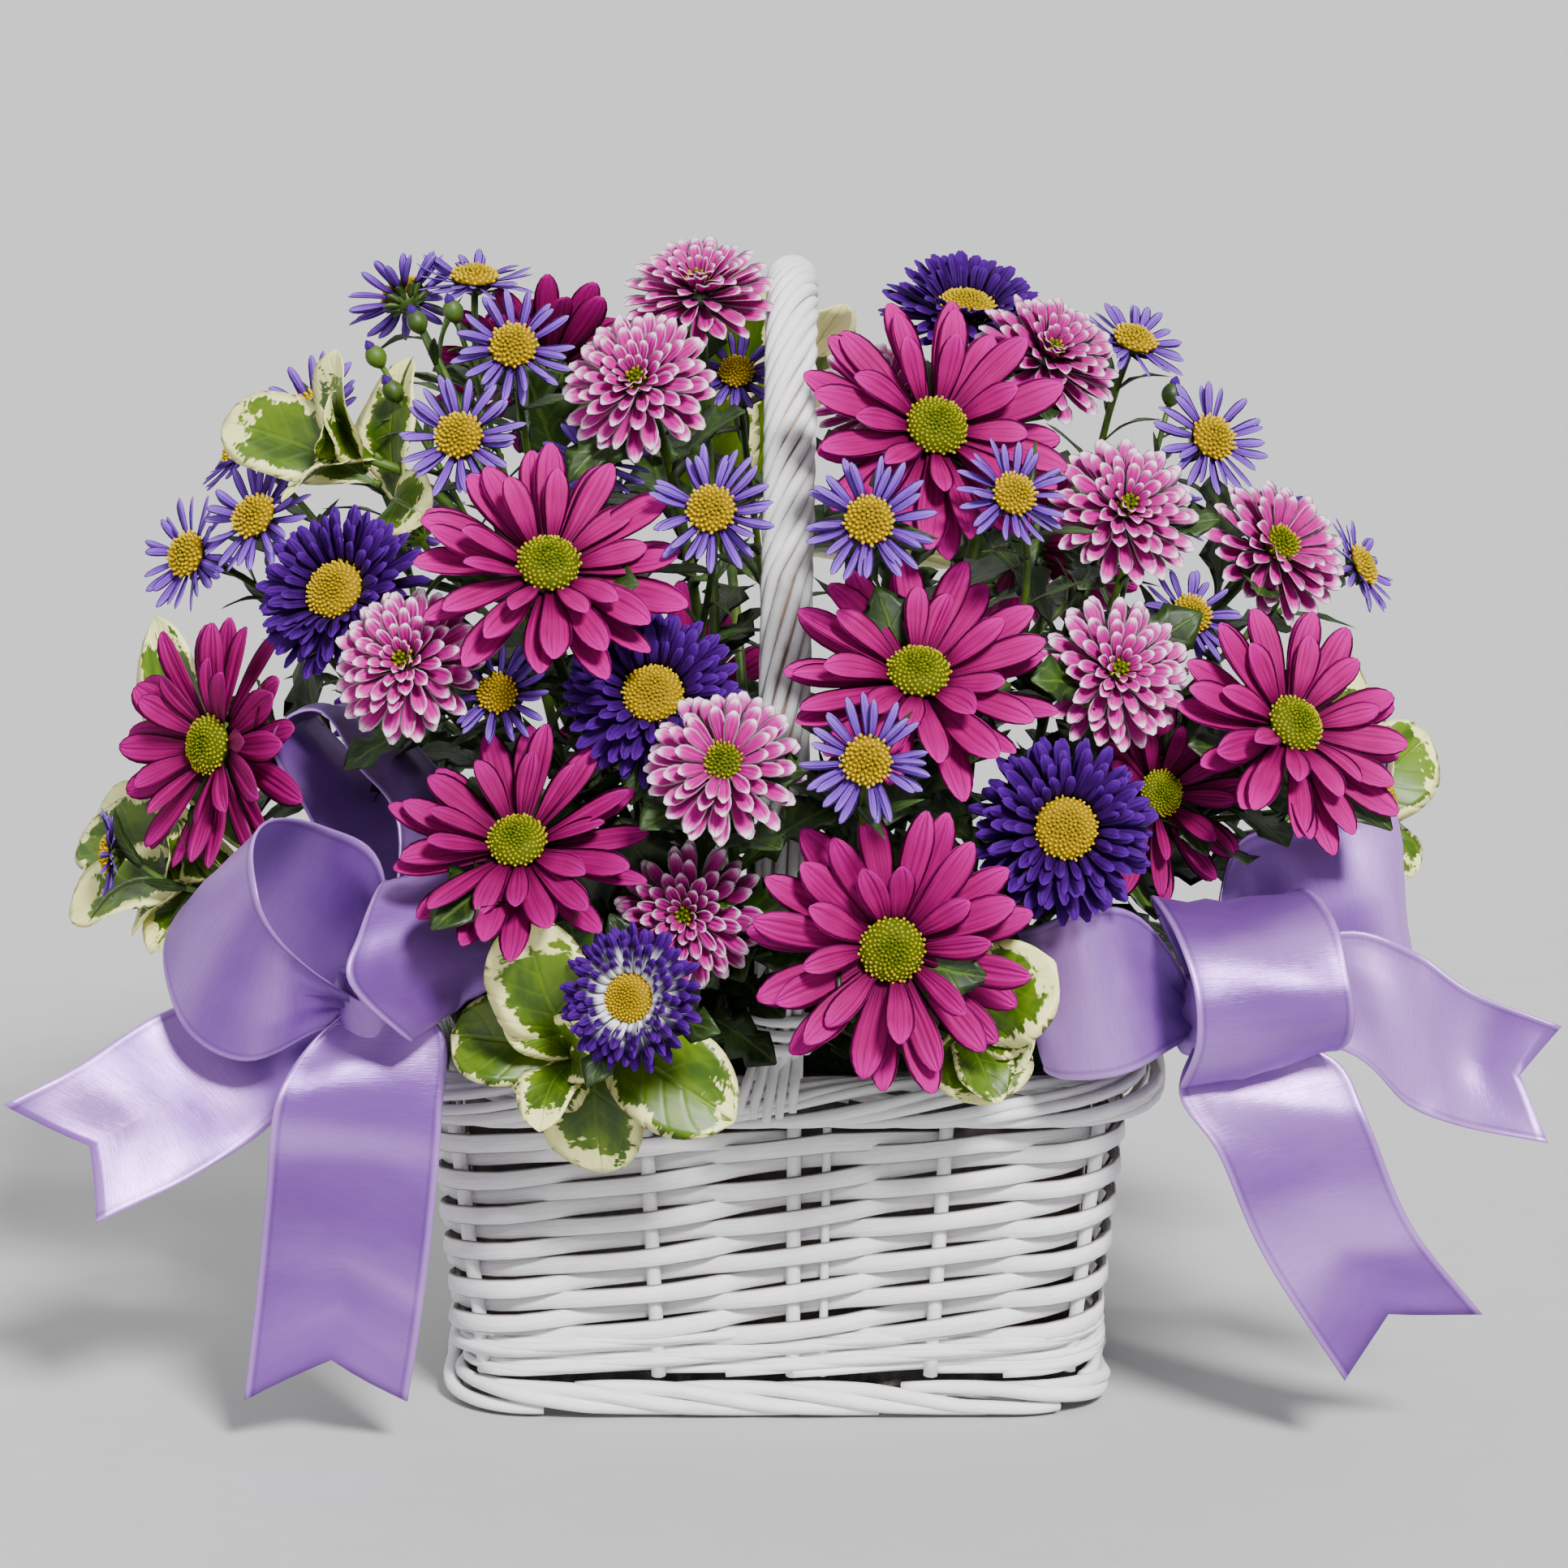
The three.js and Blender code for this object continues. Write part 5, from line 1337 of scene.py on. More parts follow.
class Garden:
    """Makes everything that grows: the single blooms, the sprays and the leafy stems."""

    def __init__(self, wardrobe: Wardrobe) -> None:
        """Keeps the materials that the plants wear."""
        self.wardrobe = wardrobe

    def finishes(self, style: BloomStyle) -> list[Material]:
        """The materials of a bloom's piece: petals, florets, green and leaves."""
        names = (style.petal_finish, style.disc_finish, "stem_green", "dark_leaf")
        return [self.wardrobe[name] for name in names]

    def dress(self, sketch: Sketch, path: Array, style: BloomStyle, rng: Chance, start: float) -> None:
        """Clothes a stem or stalk with the leaves of its kind, from a share of its way up."""
        clothe(sketch, path, style.leaf, style.leaves, style.leaf_length, style.leaf_width, rng, start)

    def single(self, name: str, own_disc: bool, *nodes: str) -> None:
        """Makes a bloom on its own stem.

        Args:
            name: the bloom's name.
            own_disc: whether its disc is a piece of its own.
            nodes: the solids that it stands for.
        """
        bloom = bloom_named(name)
        style = bloom.kind.value
        rng = seeded(name)
        sketch = Sketch()
        entry = FOAM.entry(bloom.at, bloom.spot.nudge)
        path = FOAM.stem(entry, bloom.back, bloom.axis, bloom.spot.via)
        sketch.rod(path, style.stem, (0.2, 0.0, rng.random()), GREEN)
        self.basal(sketch, entry, rng)
        self.dress(sketch, path[2:], style, rng, 0.1)
        bloom.head(sketch, rng, not own_disc)
        present(sketch, f"{name}_bloom", self.finishes(style), style.slot, *nodes)
        if own_disc:
            florets = Sketch()
            style.disc.grow(florets, bloom, rng, ONLY_FINISH)
            present(florets, f"{name}_florets", [self.wardrobe[style.disc_finish]],
                    f"{bloom.kind.name.lower()}_disc", f"{name}_disc")

    def spray(self, name: str) -> None:
        """Makes a spray: a main stem, and a stalk from its fork to each bloom."""
        row = SPRAYS[name]
        blooms = [bloom_named(bloom) for bloom in row.blooms]
        style = blooms[0].kind.value
        rng = seeded(name)
        sketch = Sketch()
        centre = np.mean([bloom.at for bloom in blooms], axis=0)
        entry = FOAM.entry(centre, row.nudge)
        way = FOAM.way(entry)
        fork = mix(entry, centre, row.fork)
        rise = entry + way * FOAM.rise
        main = np.vstack([entry - way * FOAM.depth, entry, bezier([rise, mix(rise, fork, 0.5), fork], 5)])
        sketch.rod(main, LEAFY_STEM, (0.2, 0.0, rng.random()), GREEN)
        self.basal(sketch, entry, rng)
        clothe(sketch, main[2:], LeafKind.LOBED, 5, 30.0, 16.0, rng, 0.1, 0.9)
        start = fork - way * FORK_DROP
        for bloom in blooms:
            bend = bloom.back - bloom.axis * 0.45 * np.linalg.norm(bloom.back - start)
            if bloom.spot.via is not None:
                bend = np.array(bloom.spot.via, float)
            stalk = bezier([start, bend, bloom.back], 12)
            sketch.rod(stalk, style.stem, (0.2, 0.0, rng.random()), GREEN)
            self.dress(sketch, stalk, style, rng, 0.12)
            bloom.head(sketch, rng)
        for bud in row.buds:
            self.bud(sketch, start, VIEW.at_depth(*bud), rng)
        present(sketch, f"{name}_blooms", self.finishes(style), style.slot, name)

    def bud(self, sketch: Sketch, start: Array, at: Array, rng: Chance) -> None:
        """Adds a closed bud on a thin stalk, with the first of its petals showing.

        Args:
            sketch: the piece that it belongs to.
            start: where its stalk starts.
            at: the foot of the bud.
            rng: the source of chance.
        """
        stalk = bezier([start, mix(start, at, 0.6) + 8.0 * UPWARDS, at], 12)
        sketch.rod(stalk, 0.7, (0.2, 0.0, rng.random()), GREEN)
        clothe(sketch, stalk, LeafKind.NARROW, 5, 13.0, 2.8, rng, 0.5)
        way = unit(stalk[-1] - stalk[-2])
        t = np.linspace(0.0, 1.0, 7)
        sketch.rod(at + way * (t * 6.0)[:, None], 2.6 * np.sin(math.pi * (0.08 + 0.86 * t)) ** 0.7,
                   (0.1, 0.0, rng.random()), GREEN)
        sketch.rod(at + way * (5.0 + t * 2.6)[:, None], 1.3 * np.sin(math.pi * (0.3 + 0.66 * t)),
                   (0.0, 0.0, rng.random()), PETALS)

    def basal(self, sketch: Sketch, entry: Array, rng: Chance) -> None:
        """Adds the leaves low on a stem, which spread outwards over the foam.

        Args:
            sketch: the piece that they belong to.
            entry: where the stem goes into the foam.
            rng: the source of chance.
        """
        rim = Round(*BASAL_REACH)
        bearing = math.atan2(entry[1] / rim.half_y, entry[0] / rim.half_x)
        for k in range(BASAL_LEAVES):
            turn = bearing + (k - (BASAL_LEAVES - 1) / 2) * 0.4 + rng.uniform(-0.15, 0.15)
            place = rim.at(np.array([turn / (2 * math.pi) + 0.25]))[0][0]
            base = entry + rng.uniform(2.0, 7.0) * UPWARDS
            tip = np.array([*place, FOAM.top + rng.uniform(-6.0, 0.0)])
            short = min(1.0, rng.uniform(32.0, 44.0) / np.linalg.norm(tip - base))
            tip = mix(base, tip, short) + (1.0 - short) * 20.0 * UPWARDS
            leaf(sketch, LeafKind.LOBED, base, tip, rng.uniform(18.0, 26.0), UPWARDS, rng, LEAVES,
                 (rng.uniform(0.0, 0.5), 1.0, rng.random()), arch=rng.uniform(0.12, 0.24), wave=1.4,
                 columns=4)

    def leafy(self, name: str) -> None:
        """Makes a stem of variegated leaves, with smaller ones between the large ones."""
        row = LEAFY[name]
        rng = seeded(name)
        sketch = Sketch()
        crown = VIEW.at_depth(*row.crown)
        entry = FOAM.entry(crown, row.nudge)
        outward = unit(np.array([crown[0] * 0.8, crown[1], 25.0]))
        path = FOAM.stem(entry, crown, outward)
        sketch.rod(path, LEAFY_STEM, (0.1, 0.0, rng.random()), LEAFY_GREEN)
        towards = unit(outward + np.array([0.0, -0.35, 0.5]))
        middle = path[len(path) // 2]
        for k, (px, py, y, width) in enumerate(row.leaves):
            base = mix(crown, middle, 0.05 + 0.07 * k)
            self.variegated(sketch, base, VIEW.at_depth(px, py, y), width, towards, rng)
        for k, (x, y, z, width) in enumerate(row.skirt):
            base = mix(path[2], middle, 0.08 + 0.14 * k)
            self.variegated(sketch, base, np.array([x, y, z], float), width, UPWARDS, rng)
        u, v, w = bloom_axes(outward)
        for k in range(YOUNG_LEAVES):
            turn = k * GOLDEN_TURN + rng.uniform(-0.3, 0.3)
            lean = rng.uniform(0.5, 1.0)
            way = unit(w + (u * math.cos(turn) + v * math.sin(turn)) * lean * 1.6)
            self.variegated(sketch, crown - w * 2.0 * k, crown + way * rng.uniform(17, 26),
                            rng.uniform(10, 15), unit(w - way * 0.3 + towards * 0.3), rng)
        present(sketch, f"{name}_leaves", [self.wardrobe["stem_green"], self.wardrobe["variegated_leaf"]],
                "leaf", name)

    def variegated(self, sketch: Sketch, base: Array, point: Array, width: float, up: Array,
                   rng: Chance) -> None:
        """Adds one cream-edged leaf.

        Args:
            sketch: the piece that it belongs to.
            base: the foot of its stalk.
            point: its tip.
            width: its full width.
            up: roughly the way that its upper face looks.
            rng: the source of chance.
        """
        tone = (rng.uniform(0.0, 0.45), rng.uniform(0.25, 1.0), rng.random())
        leaf(sketch, LeafKind.OVAL, base, point, width, up, rng, LEAFY_BLADE, tone, wave=1.3, rows=20,
             columns=8)
        stalk = mix(base, point, 0.1)
        sketch.rod(np.array([base, mix(base, stalk, 0.5), stalk]), [1.1, 0.9, 0.7], (0.0, 0.0, 0.5),
                   LEAFY_GREEN, 6)


# ------------------------ ribbons
RIBBON_WIDTH = 40.0

# The stations of each loop and tail from the knot outwards: its two edges, each as a pixel and a depth.
BOW_LEFT: dict[str, tuple] = {
    "knot": (452, 1240, -80),
    "loop_front": (
        ((440, 1228, -84), (452, 1252, -80)), ((380, 1190, -96), (392, 1268, -84)),
        ((340, 1152, -104), (305, 1302, -84)), ((315, 1105, -106), (228, 1262, -80)),
        ((308, 1050, -98), (200, 1165, -70)), ((335, 1017, -84), (256, 1098, -52)),
        ((400, 1022, -70), (312, 1180, -46)), ((466, 1062, -66), (384, 1244, -58)),
        ((474, 1196, -72), (438, 1258, -70)),
    ),
    "loop_heart": (
        ((462, 1222, -78), (490, 1190, -72)), ((490, 1100, -74), (520, 1060, -66)),
        ((470, 1085, -88), (560, 1072, -80)), ((442, 1150, -104), (602, 1118, -84)),
        ((428, 1212, -110), (630, 1180, -88)), ((500, 1280, -102), (624, 1212, -84)),
        ((505, 1262, -88), (590, 1206, -78)), ((456, 1245, -80), (474, 1228, -74)),
    ),
    "loop_back": (
        ((462, 1225, -78), (474, 1215, -72)), ((492, 1020, -62), (545, 1000, -40)),
        ((440, 935, -58), (520, 930, -28)), ((395, 882, -55), (440, 866, -30)),
        ((350, 892, -55), (384, 878, -28)), ((344, 934, -52), (418, 908, -24)),
        ((392, 1036, -50), (500, 1004, -32)), ((446, 1225, -70), (480, 1190, -64)),
    ),
    "tail_side": (
        ((420, 1210, -76), (440, 1262, -76)), ((330, 1220, -66), (385, 1300, -72)),
        ((210, 1242, -66), (335, 1385, -74)), ((94, 1315, -76), (232, 1452, -84)),
        ((4, 1362, -84), (118, 1508, -90)),
    ),
    "tail_down": (
        ((432, 1240, -82), (470, 1245, -78)), ((379, 1290, -88), (545, 1270, -84)),
        ((339, 1358, -96), (545, 1376, -90)), ((328, 1465, -92), (533, 1510, -90)),
        ((315, 1600, -86), (518, 1630, -86)), ((300, 1728, -84), (502, 1728, -84)),
    ),
}

BOW_RIGHT: dict[str, tuple] = {
    "knot": (1490, 1250, -78),
    "loop_side": (
        ((1478, 1232, -78), (1482, 1268, -78)), ((1405, 1130, -88), (1445, 1292, -88)),
        ((1340, 1120, -96), (1385, 1322, -94)), ((1275, 1142, -88), (1310, 1331, -88)),
        ((1262, 1150, -78), (1285, 1318, -78)), ((1330, 1160, -72), (1350, 1300, -72)),
        ((1470, 1232, -72), (1476, 1262, -72)),
    ),
    "loop_front": (
        ((1480, 1232, -78), (1502, 1232, -74)), ((1418, 1112, -80), (1590, 1105, -70)),
        ((1447, 1150, -98), (1640, 1132, -90)), ((1472, 1212, -108), (1662, 1205, -100)),
        ((1474, 1283, -108), (1668, 1262, -100)), ((1454, 1336, -96), (1654, 1298, -90)),
        ((1470, 1310, -84), (1600, 1284, -80)), ((1482, 1272, -78), (1516, 1266, -76)),
    ),
    "loop_back": (
        ((1488, 1232, -76), (1494, 1262, -76)), ((1520, 1046, -58), (1560, 1200, -62)),
        ((1603, 1016, -54), (1650, 1208, -62)), ((1699, 993, -50), (1733, 1190, -54)),
        ((1704, 1000, -42), (1735, 1188, -42)), ((1620, 1030, -40), (1640, 1190, -44)),
        ((1486, 1234, -72), (1492, 1264, -72)),
    ),
    "tail_side": (
        ((1494, 1232, -80), (1494, 1264, -80)), ((1640, 1150, -78), (1658, 1295, -82)),
        ((1739, 1170, -80), (1734, 1362, -86)), ((1815, 1222, -84), (1800, 1388, -92)),
        ((1924, 1264, -90), (1908, 1409, -98)),
    ),
    "tail_down": (
        ((1480, 1268, -82), (1514, 1262, -80)), ((1452, 1348, -90), (1643, 1303, -84)),
        ((1500, 1420, -94), (1684, 1380, -88)), ((1558, 1550, -92), (1740, 1510, -88)),
        ((1656, 1700, -88), (1828, 1622, -86)),
    ),
}


@dataclass(frozen=True)
class Bow:
    """A bow of satin ribbon: its loops and tails run between two edges each, gathered at the knot."""

    name: str
    rows: dict[str, tuple]
    cut: tuple[float, float]
    knot_radius: float = 7.4
    knot_half: float = 9.5
    thick: float = 0.32
    edge_thick: float = 0.85
    notch: float = 0.3
    per_span: int = 8
    columns: tuple[float, ...] = (-1, -0.97, -0.93, -0.75, -0.5, -0.25, 0, 0.25, 0.5, 0.75, 0.93, 0.97, 1)

    def strip(self, sketch: Sketch, stations: tuple, tail: bool, rng: Chance) -> None:
        """Adds one loop or tail.

        Args:
            sketch: the piece that it belongs to.
            stations: pairs of edge points, each a pixel and a depth.
            tail: whether it ends in a swallow-tail.
            rng: the source of chance.
        """
        left = through([VIEW.at_depth(*a) for a, _ in stations], self.per_span)
        right = through([VIEW.at_depth(*b) for _, b in stations], self.per_span)
        rows = len(left)
        s = np.array(self.columns, float)
        index = np.tile(np.arange(rows, dtype=float)[:, None], (1, len(s)))
        if tail:
            end_step = np.linalg.norm(left[-1] - left[-2]) + np.linalg.norm(right[-1] - right[-2])
            back = self.notch * np.linalg.norm(left[-1] - right[-1]) * 2.0 / end_step
            index = index - back * (1.0 - np.abs(s)) * ease(0.55, 1.0, index / (rows - 1))
        low = np.clip(index.astype(int), 0, rows - 2)
        part = (index - low)[..., None]
        a = mix(left[low], left[low + 1], part)
        b = mix(right[low], right[low + 1], part)
        sheet = mix(a, b, ((s + 1) / 2)[None, :, None])
        along = unit(np.gradient(sheet, axis=0))
        face = unit(np.cross(b - a, along))
        for k in range(1, rows):
            if np.sum(face[k] * face[k - 1]) < 0:
                face[k] = -face[k]
        t = np.linspace(0.0, 1.0, rows)[:, None]
        gathered = np.exp(-t * 7.0) + (0.0 if tail else np.exp(-(1.0 - t) * 7.0))
        start = rng.uniform(0, 2 * math.pi, 3)
        pleats = 1.6 * gathered * np.sin(3.2 * math.pi * s + start[0])
        folds = (1.1 * np.sin(2 * math.pi * (1.3 * t + 0.3 * s) + start[1])
                 + 0.5 * np.sin(2 * math.pi * (3.1 * t - 0.45 * s) + start[2])) * (1.0 - 0.6 * gathered)
        sheet = sheet + face * (pleats + folds)[..., None]
        half = 0.5 * np.interp(np.abs(s), [0.0, 0.92, 0.95, 0.985, 1.0],
                               [self.thick, self.thick, self.edge_thick, self.edge_thick, 0.3])
        top = sheet + face * half[None, :, None]
        under = sheet - face * half[None, :, None]
        rings = np.concatenate([top, under[:, ::-1]], axis=1)
        walked = walked_along(mix(left, right, 0.5))[:, None]
        reading = reading_of(rings, walked / MM_PER_READING, np.concatenate([s, s[::-1]]), 0.5)
        sketch.sleeves(rings, reading, (0.0, 0.0, rng.random()))

    def knot(self, sketch: Sketch, rng: Chance) -> None:
        """Adds the band of ribbon that is wrapped round the middle, with its gathers."""
        middle = VIEW.at_depth(*self.rows["knot"])
        turn = full_circle(28)
        height = np.array([-1.0, -0.97, -0.8, -0.5, -0.2, 0.1, 0.4, 0.7, 0.95, 1.0])
        bulge = np.array([0.72, 0.9, 0.98, 1.0, 0.94, 1.0, 1.02, 0.98, 0.9, 0.7])
        height, bulge = height[:, None], bulge[:, None]
        crumple = 0.45 * np.sin(2.5 * math.pi * height + 1.7 * np.sin(turn)[None] + rng.uniform(0, 6))
        radius = self.knot_radius * bulge + crumple
        rings = np.stack([middle[0] + radius * np.cos(turn), middle[1] + 0.9 * radius * np.sin(turn),
                          np.broadcast_to(middle[2] + self.knot_half * height, radius.shape)], axis=-1)
        reading = reading_of(rings, turn * self.knot_radius / MM_PER_READING, height, 0.5)
        sketch.sleeves(rings, reading, (0.0, 0.0, rng.random()))

    def make(self, wardrobe: Wardrobe) -> None:
        rng = seeded(self.name)
        sketch = Sketch()
        for name, stations in self.rows.items():
            if name != "knot":
                self.strip(sketch, stations, name.startswith("tail"), rng)
        self.knot(sketch, rng)
        piece = present(sketch, f"{self.name}_satin", [wardrobe["lavender_satin"]], "ribbon", self.name)


# ------------------------ basket
@dataclass(frozen=True)
class Round:
    """A level rectangle with round corners, walked to the right from the middle of its front."""

    half_x: float
    half_y: float
    corner: float

    def grown(self, by: float) -> "Round":
        """The same shape, larger all round."""
        return Round(self.half_x + by, self.half_y + by, self.corner + by)

    @property
    def stretches(self) -> tuple[float, float, float]:
        """Half a straight front, half a straight side, and a corner's arc."""
        return self.half_x - self.corner, self.half_y - self.corner, math.pi / 2 * self.corner

    @property
    def length(self) -> float:
        """The whole way round."""
        front, side, arc = self.stretches
        return 4 * (front + side + arc)

    def at(self, share: Array) -> tuple[Array, Array]:
        """Places on it.

        Args:
            share: how much of the way round each one lies.

        Returns:
            The level places, and the way out of the loop at each.
        """
        front, side, _ = self.stretches
        points, ways = [(0.0, -self.half_y)], [(0.0, -1.0)]
        for k, (x, y) in enumerate(((front, -side), (front, side), (-front, side), (-front, -side))):
            for turn in np.radians(np.linspace(90 * k - 90, 90 * k, 13)):
                way = (math.cos(turn), math.sin(turn))
                points.append((x + self.corner * way[0], y + self.corner * way[1]))
                ways.append(way)
        points.append(points[0])
        ways.append(ways[0])
        points, ways = np.array(points), np.array(ways)
        walked = walked_along(points)
        where = np.mod(np.asarray(share, float), 1.0) * walked[-1]
        place = np.stack([np.interp(where, walked, points[:, i]) for i in (0, 1)], axis=-1)
        way = np.stack([np.interp(where, walked, ways[:, i]) for i in (0, 1)], axis=-1)
        return place, unit(way)


def ring_points(loop: Round, share: Array, out: Array | float, z: Array | float) -> Array:
    """Points beside a loop: how far round, how far out and how high each one is."""
    place, way = loop.at(share)
    level = place + way * np.broadcast_to(out, np.shape(share))[..., None]
    return np.concatenate([level, np.broadcast_to(z, np.shape(share))[..., None]], axis=-1)


@dataclass(frozen=True)
class Basket:
    """The willow basket: base panel, foot border, woven wall, rim border, handle, liner and foam."""

    wall_low: Round = Round(79.0, 58.0, 20.0)
    wall_high: Round = Round(85.0, 64.0, 20.0)
    wall_bottom: float = 9.35
    wall_top: float = 74.0
    depth: float = 2.5             # from the outer face to the middle of the weave
    weave: float = 2.3             # how far the strips swing in and out
    pitch: float = 9.3
    strip_width: float = 4.8
    strip_thick: float = 1.7
    strip_reach: float = 12.0      # how many stakes a strip passes
    randing_bottom: float = 17.75
    randing_top: float = 69.4      # where the strips level off below the rim
    stake_radius: float = 1.8
    foot: Round = Round(78.0, 57.0, 20.0)
    foot_half: tuple[float, float] = (4.0, 4.5)
    rim: Round = Round(87.0, 65.5, 22.0)
    rim_half: tuple[float, float] = (7.3, 6.4)
    rim_middle: float = 80.7
    base: Round = Round(73.5, 52.5, 16.0)
    handle_half_span: float = 68.0
    handle_radius: float = 6.4
    handle_top: float = 275.0
    handle_foot: float = 87.35
    handle_lean: float = 3.6       # how far its top stands to the right
    handle_square: float = 2.4     # 2 makes it round, and more makes its shoulders squarer
    handle_rods: int = 9
    handle_rod_radius: float = 1.5
    handle_core: float = 4.2

    @property
    def stakes(self) -> list[float]:
        """How far round the wall each stake stands, as shares."""
        loop = Round((self.wall_low.half_x + self.wall_high.half_x) / 2,
                     (self.wall_low.half_y + self.wall_high.half_y) / 2, self.wall_low.corner)
        front, side, arc = loop.stretches
        right, back, left = front + arc, front + 2 * arc + 2 * side, 3 * front + 3 * arc + 2 * side
        places = [4.0, 40.0, front + arc / 2, right + side - 20, right + side + 20,
                  right + 2 * side + arc / 2, back + front - 38, back + front, back + front + 38,
                  back + 2 * front + arc / 2, left + side - 20, left + side + 20,
                  left + 2 * side + arc / 2, loop.length - 31]
        return [place / loop.length for place in places]

    def wall_points(self, share: Array, out: Array | float, z: Array | float) -> Array:
        """Points in the wall: how far round, how far out of its middle and how high each one is."""
        t = np.clip((np.broadcast_to(z, np.shape(share)) - self.wall_bottom)
                    / (self.wall_top - self.wall_bottom), -0.1, 1.1)[..., None]
        low = ring_points(self.wall_low.grown(-self.depth), share, out, z)
        high = ring_points(self.wall_high.grown(-self.depth), share, out, z)
        return mix(low, high, t)

    def strip(self, sketch: Sketch, path: Array, out: Array, width: float, thick: float,
              rng: Chance) -> None:
        """Adds a flat split-willow strip.

        Args:
            sketch: the piece that it belongs to.
            path: its middle line.
            out: the way out of the wall at each point.
            width: its width.
            thick: its thickness.
            rng: the source of chance.
        """
        along = unit(np.gradient(path, axis=0))
        up = unit(np.cross(out, along))
        face = np.cross(along, up)
        across = np.array([-1.0, -0.86, 0.0, 0.86, 1.0, 0.86, 0.0, -0.86])
        proud = np.array([0.0, 0.72, 1.0, 0.72, 0.0, -0.5, -0.5, -0.5])
        half = 0.5 * width * (1.0 + 0.05 * np.sin(np.arange(len(path)) * 0.7 + rng.uniform(0, 6)))
        rings = (path[:, None] + up[:, None] * (half[:, None] * across[None])[..., None]
                 + face[:, None] * (0.5 * thick * proud)[None, :, None])
        reading = reading_of(rings, walked_along(path)[:, None] / MM_PER_READING, across, proud)
        sketch.sleeves(rings, reading, (rng.uniform(0.0, 0.05), 1.0, rng.random()))

    def rod(self, sketch: Sketch, path: Array, radius: float, rng: Chance, sides: int = 8,
            tint: float = 0.05) -> None:
        """Adds a round willow rod that thins a little at both ends."""
        t = np.linspace(0.0, 1.0, len(path))
        radii = radius * (0.82 + 0.18 * np.sin(math.pi * t)) * rng.uniform(0.92, 1.06)
        sketch.rod(path, radii, (rng.uniform(0.0, tint), 0.0, rng.random()), ONLY_FINISH, sides,
                   start=unit(np.cross(path[1] - path[0], [0.3, 0.2, 1.0])))

    def wall(self, wardrobe: Wardrobe) -> None:
        """Makes the wall: its stakes, the strips randed round them, and the waling below."""
        rng = seeded("wall")
        sketch = Sketch()
        stakes = self.stakes
        count = len(stakes)
        for k, share in enumerate(stakes):
            z = np.linspace(self.wall_bottom + 0.4, self.wall_top - 0.4, 10)
            twin = [(0.0145, 0.6 * self.stake_radius)] if k == 0 else []
            for shift, radius in [(0.0, self.stake_radius), *twin]:
                path = self.wall_points(np.full(10, share + shift), 0.2 * np.sin(z * 0.2 + k), z)
                sketch.rod(path, radius, (rng.uniform(0.0, 0.12), 0.0, rng.random()), start=(1.0, 0.3, 0.0))
        unrolled = np.array([share + turn for turn in range(3) for share in stakes])
        for m in range(count):
            q = np.arange(0.0, self.strip_reach, 0.125)
            q = np.append(q, self.strip_reach)
            share = np.interp(m + q, np.arange(len(unrolled)), unrolled)
            z = np.minimum(self.randing_bottom + q * self.pitch / 2, self.randing_top + 0.06 * q)
            swing = -self.weave * np.cos(math.pi * q)
            swing = np.sign(swing) * np.abs(swing / self.weave) ** 0.7 * self.weave
            z = z + rng.uniform(-0.3, 0.3) + 0.3 * np.sin(q * 2.3 + rng.uniform(0, 6))
            path = self.wall_points(share, swing, z)
            out = path - self.wall_points(share, swing - 1.0, z)
            self.strip(sketch, path, unit(out), self.strip_width, self.strip_thick, rng)
        for m in range(2 * count):
            q = np.linspace(0.0, 5.6, 46)
            share = np.interp(m / 2 + q, np.arange(len(unrolled)), unrolled)
            swing = self.weave * 0.9 * np.cos(2 * math.pi * (q / 3.0 + (m % 3) / 3.0))
            z = self.wall_bottom + 1.4 + q * 1.75 + 0.2 * np.sin(q + m)
            self.rod(sketch, self.wall_points(share, swing, z), 1.25, rng)
        present(sketch, "basket_weave", [wardrobe["white_willow"]], "willow", "basket_wall")

    def borders(self, wardrobe: Wardrobe) -> None:
        """Makes the rim border and the foot border, of rods laid slantwise over each other."""
        for name, loop, half, middle, count, reach, radius, turns in (
                ("basket_rim", self.rim, self.rim_half, self.rim_middle, 42, 132.0, 1.4,
                 (-118.0, -13.0, 91.0, 196.0)),
                ("basket_foot", self.foot, self.foot_half, self.foot_half[1], 20, 74.0, 1.9,
                 (128.0, 60.0, -40.0, -80.0))):
            rng = seeded(name)
            sketch = Sketch()
            for k in range(count):
                t = np.linspace(0.0, 1.0, 26)
                start = (k + rng.uniform(-0.25, 0.25)) / count
                share = start + t * reach * rng.uniform(0.92, 1.08) / loop.length
                degrees = np.interp(t, np.linspace(0.0, 1.0, len(turns)), turns)
                angle = np.radians(degrees + rng.uniform(-7, 7))
                proud = 1.0 + 0.05 * np.sin(t * 9 + rng.uniform(0, 6))
                out = (half[0] - radius) * np.cos(angle) * proud
                z = middle + (half[1] - radius) * np.sin(angle)
                self.rod(sketch, ring_points(loop, share, out, z), radius, rng, tint=0.08)
            present(sketch, f"{name}_border", [wardrobe["white_willow"]], "willow", name)

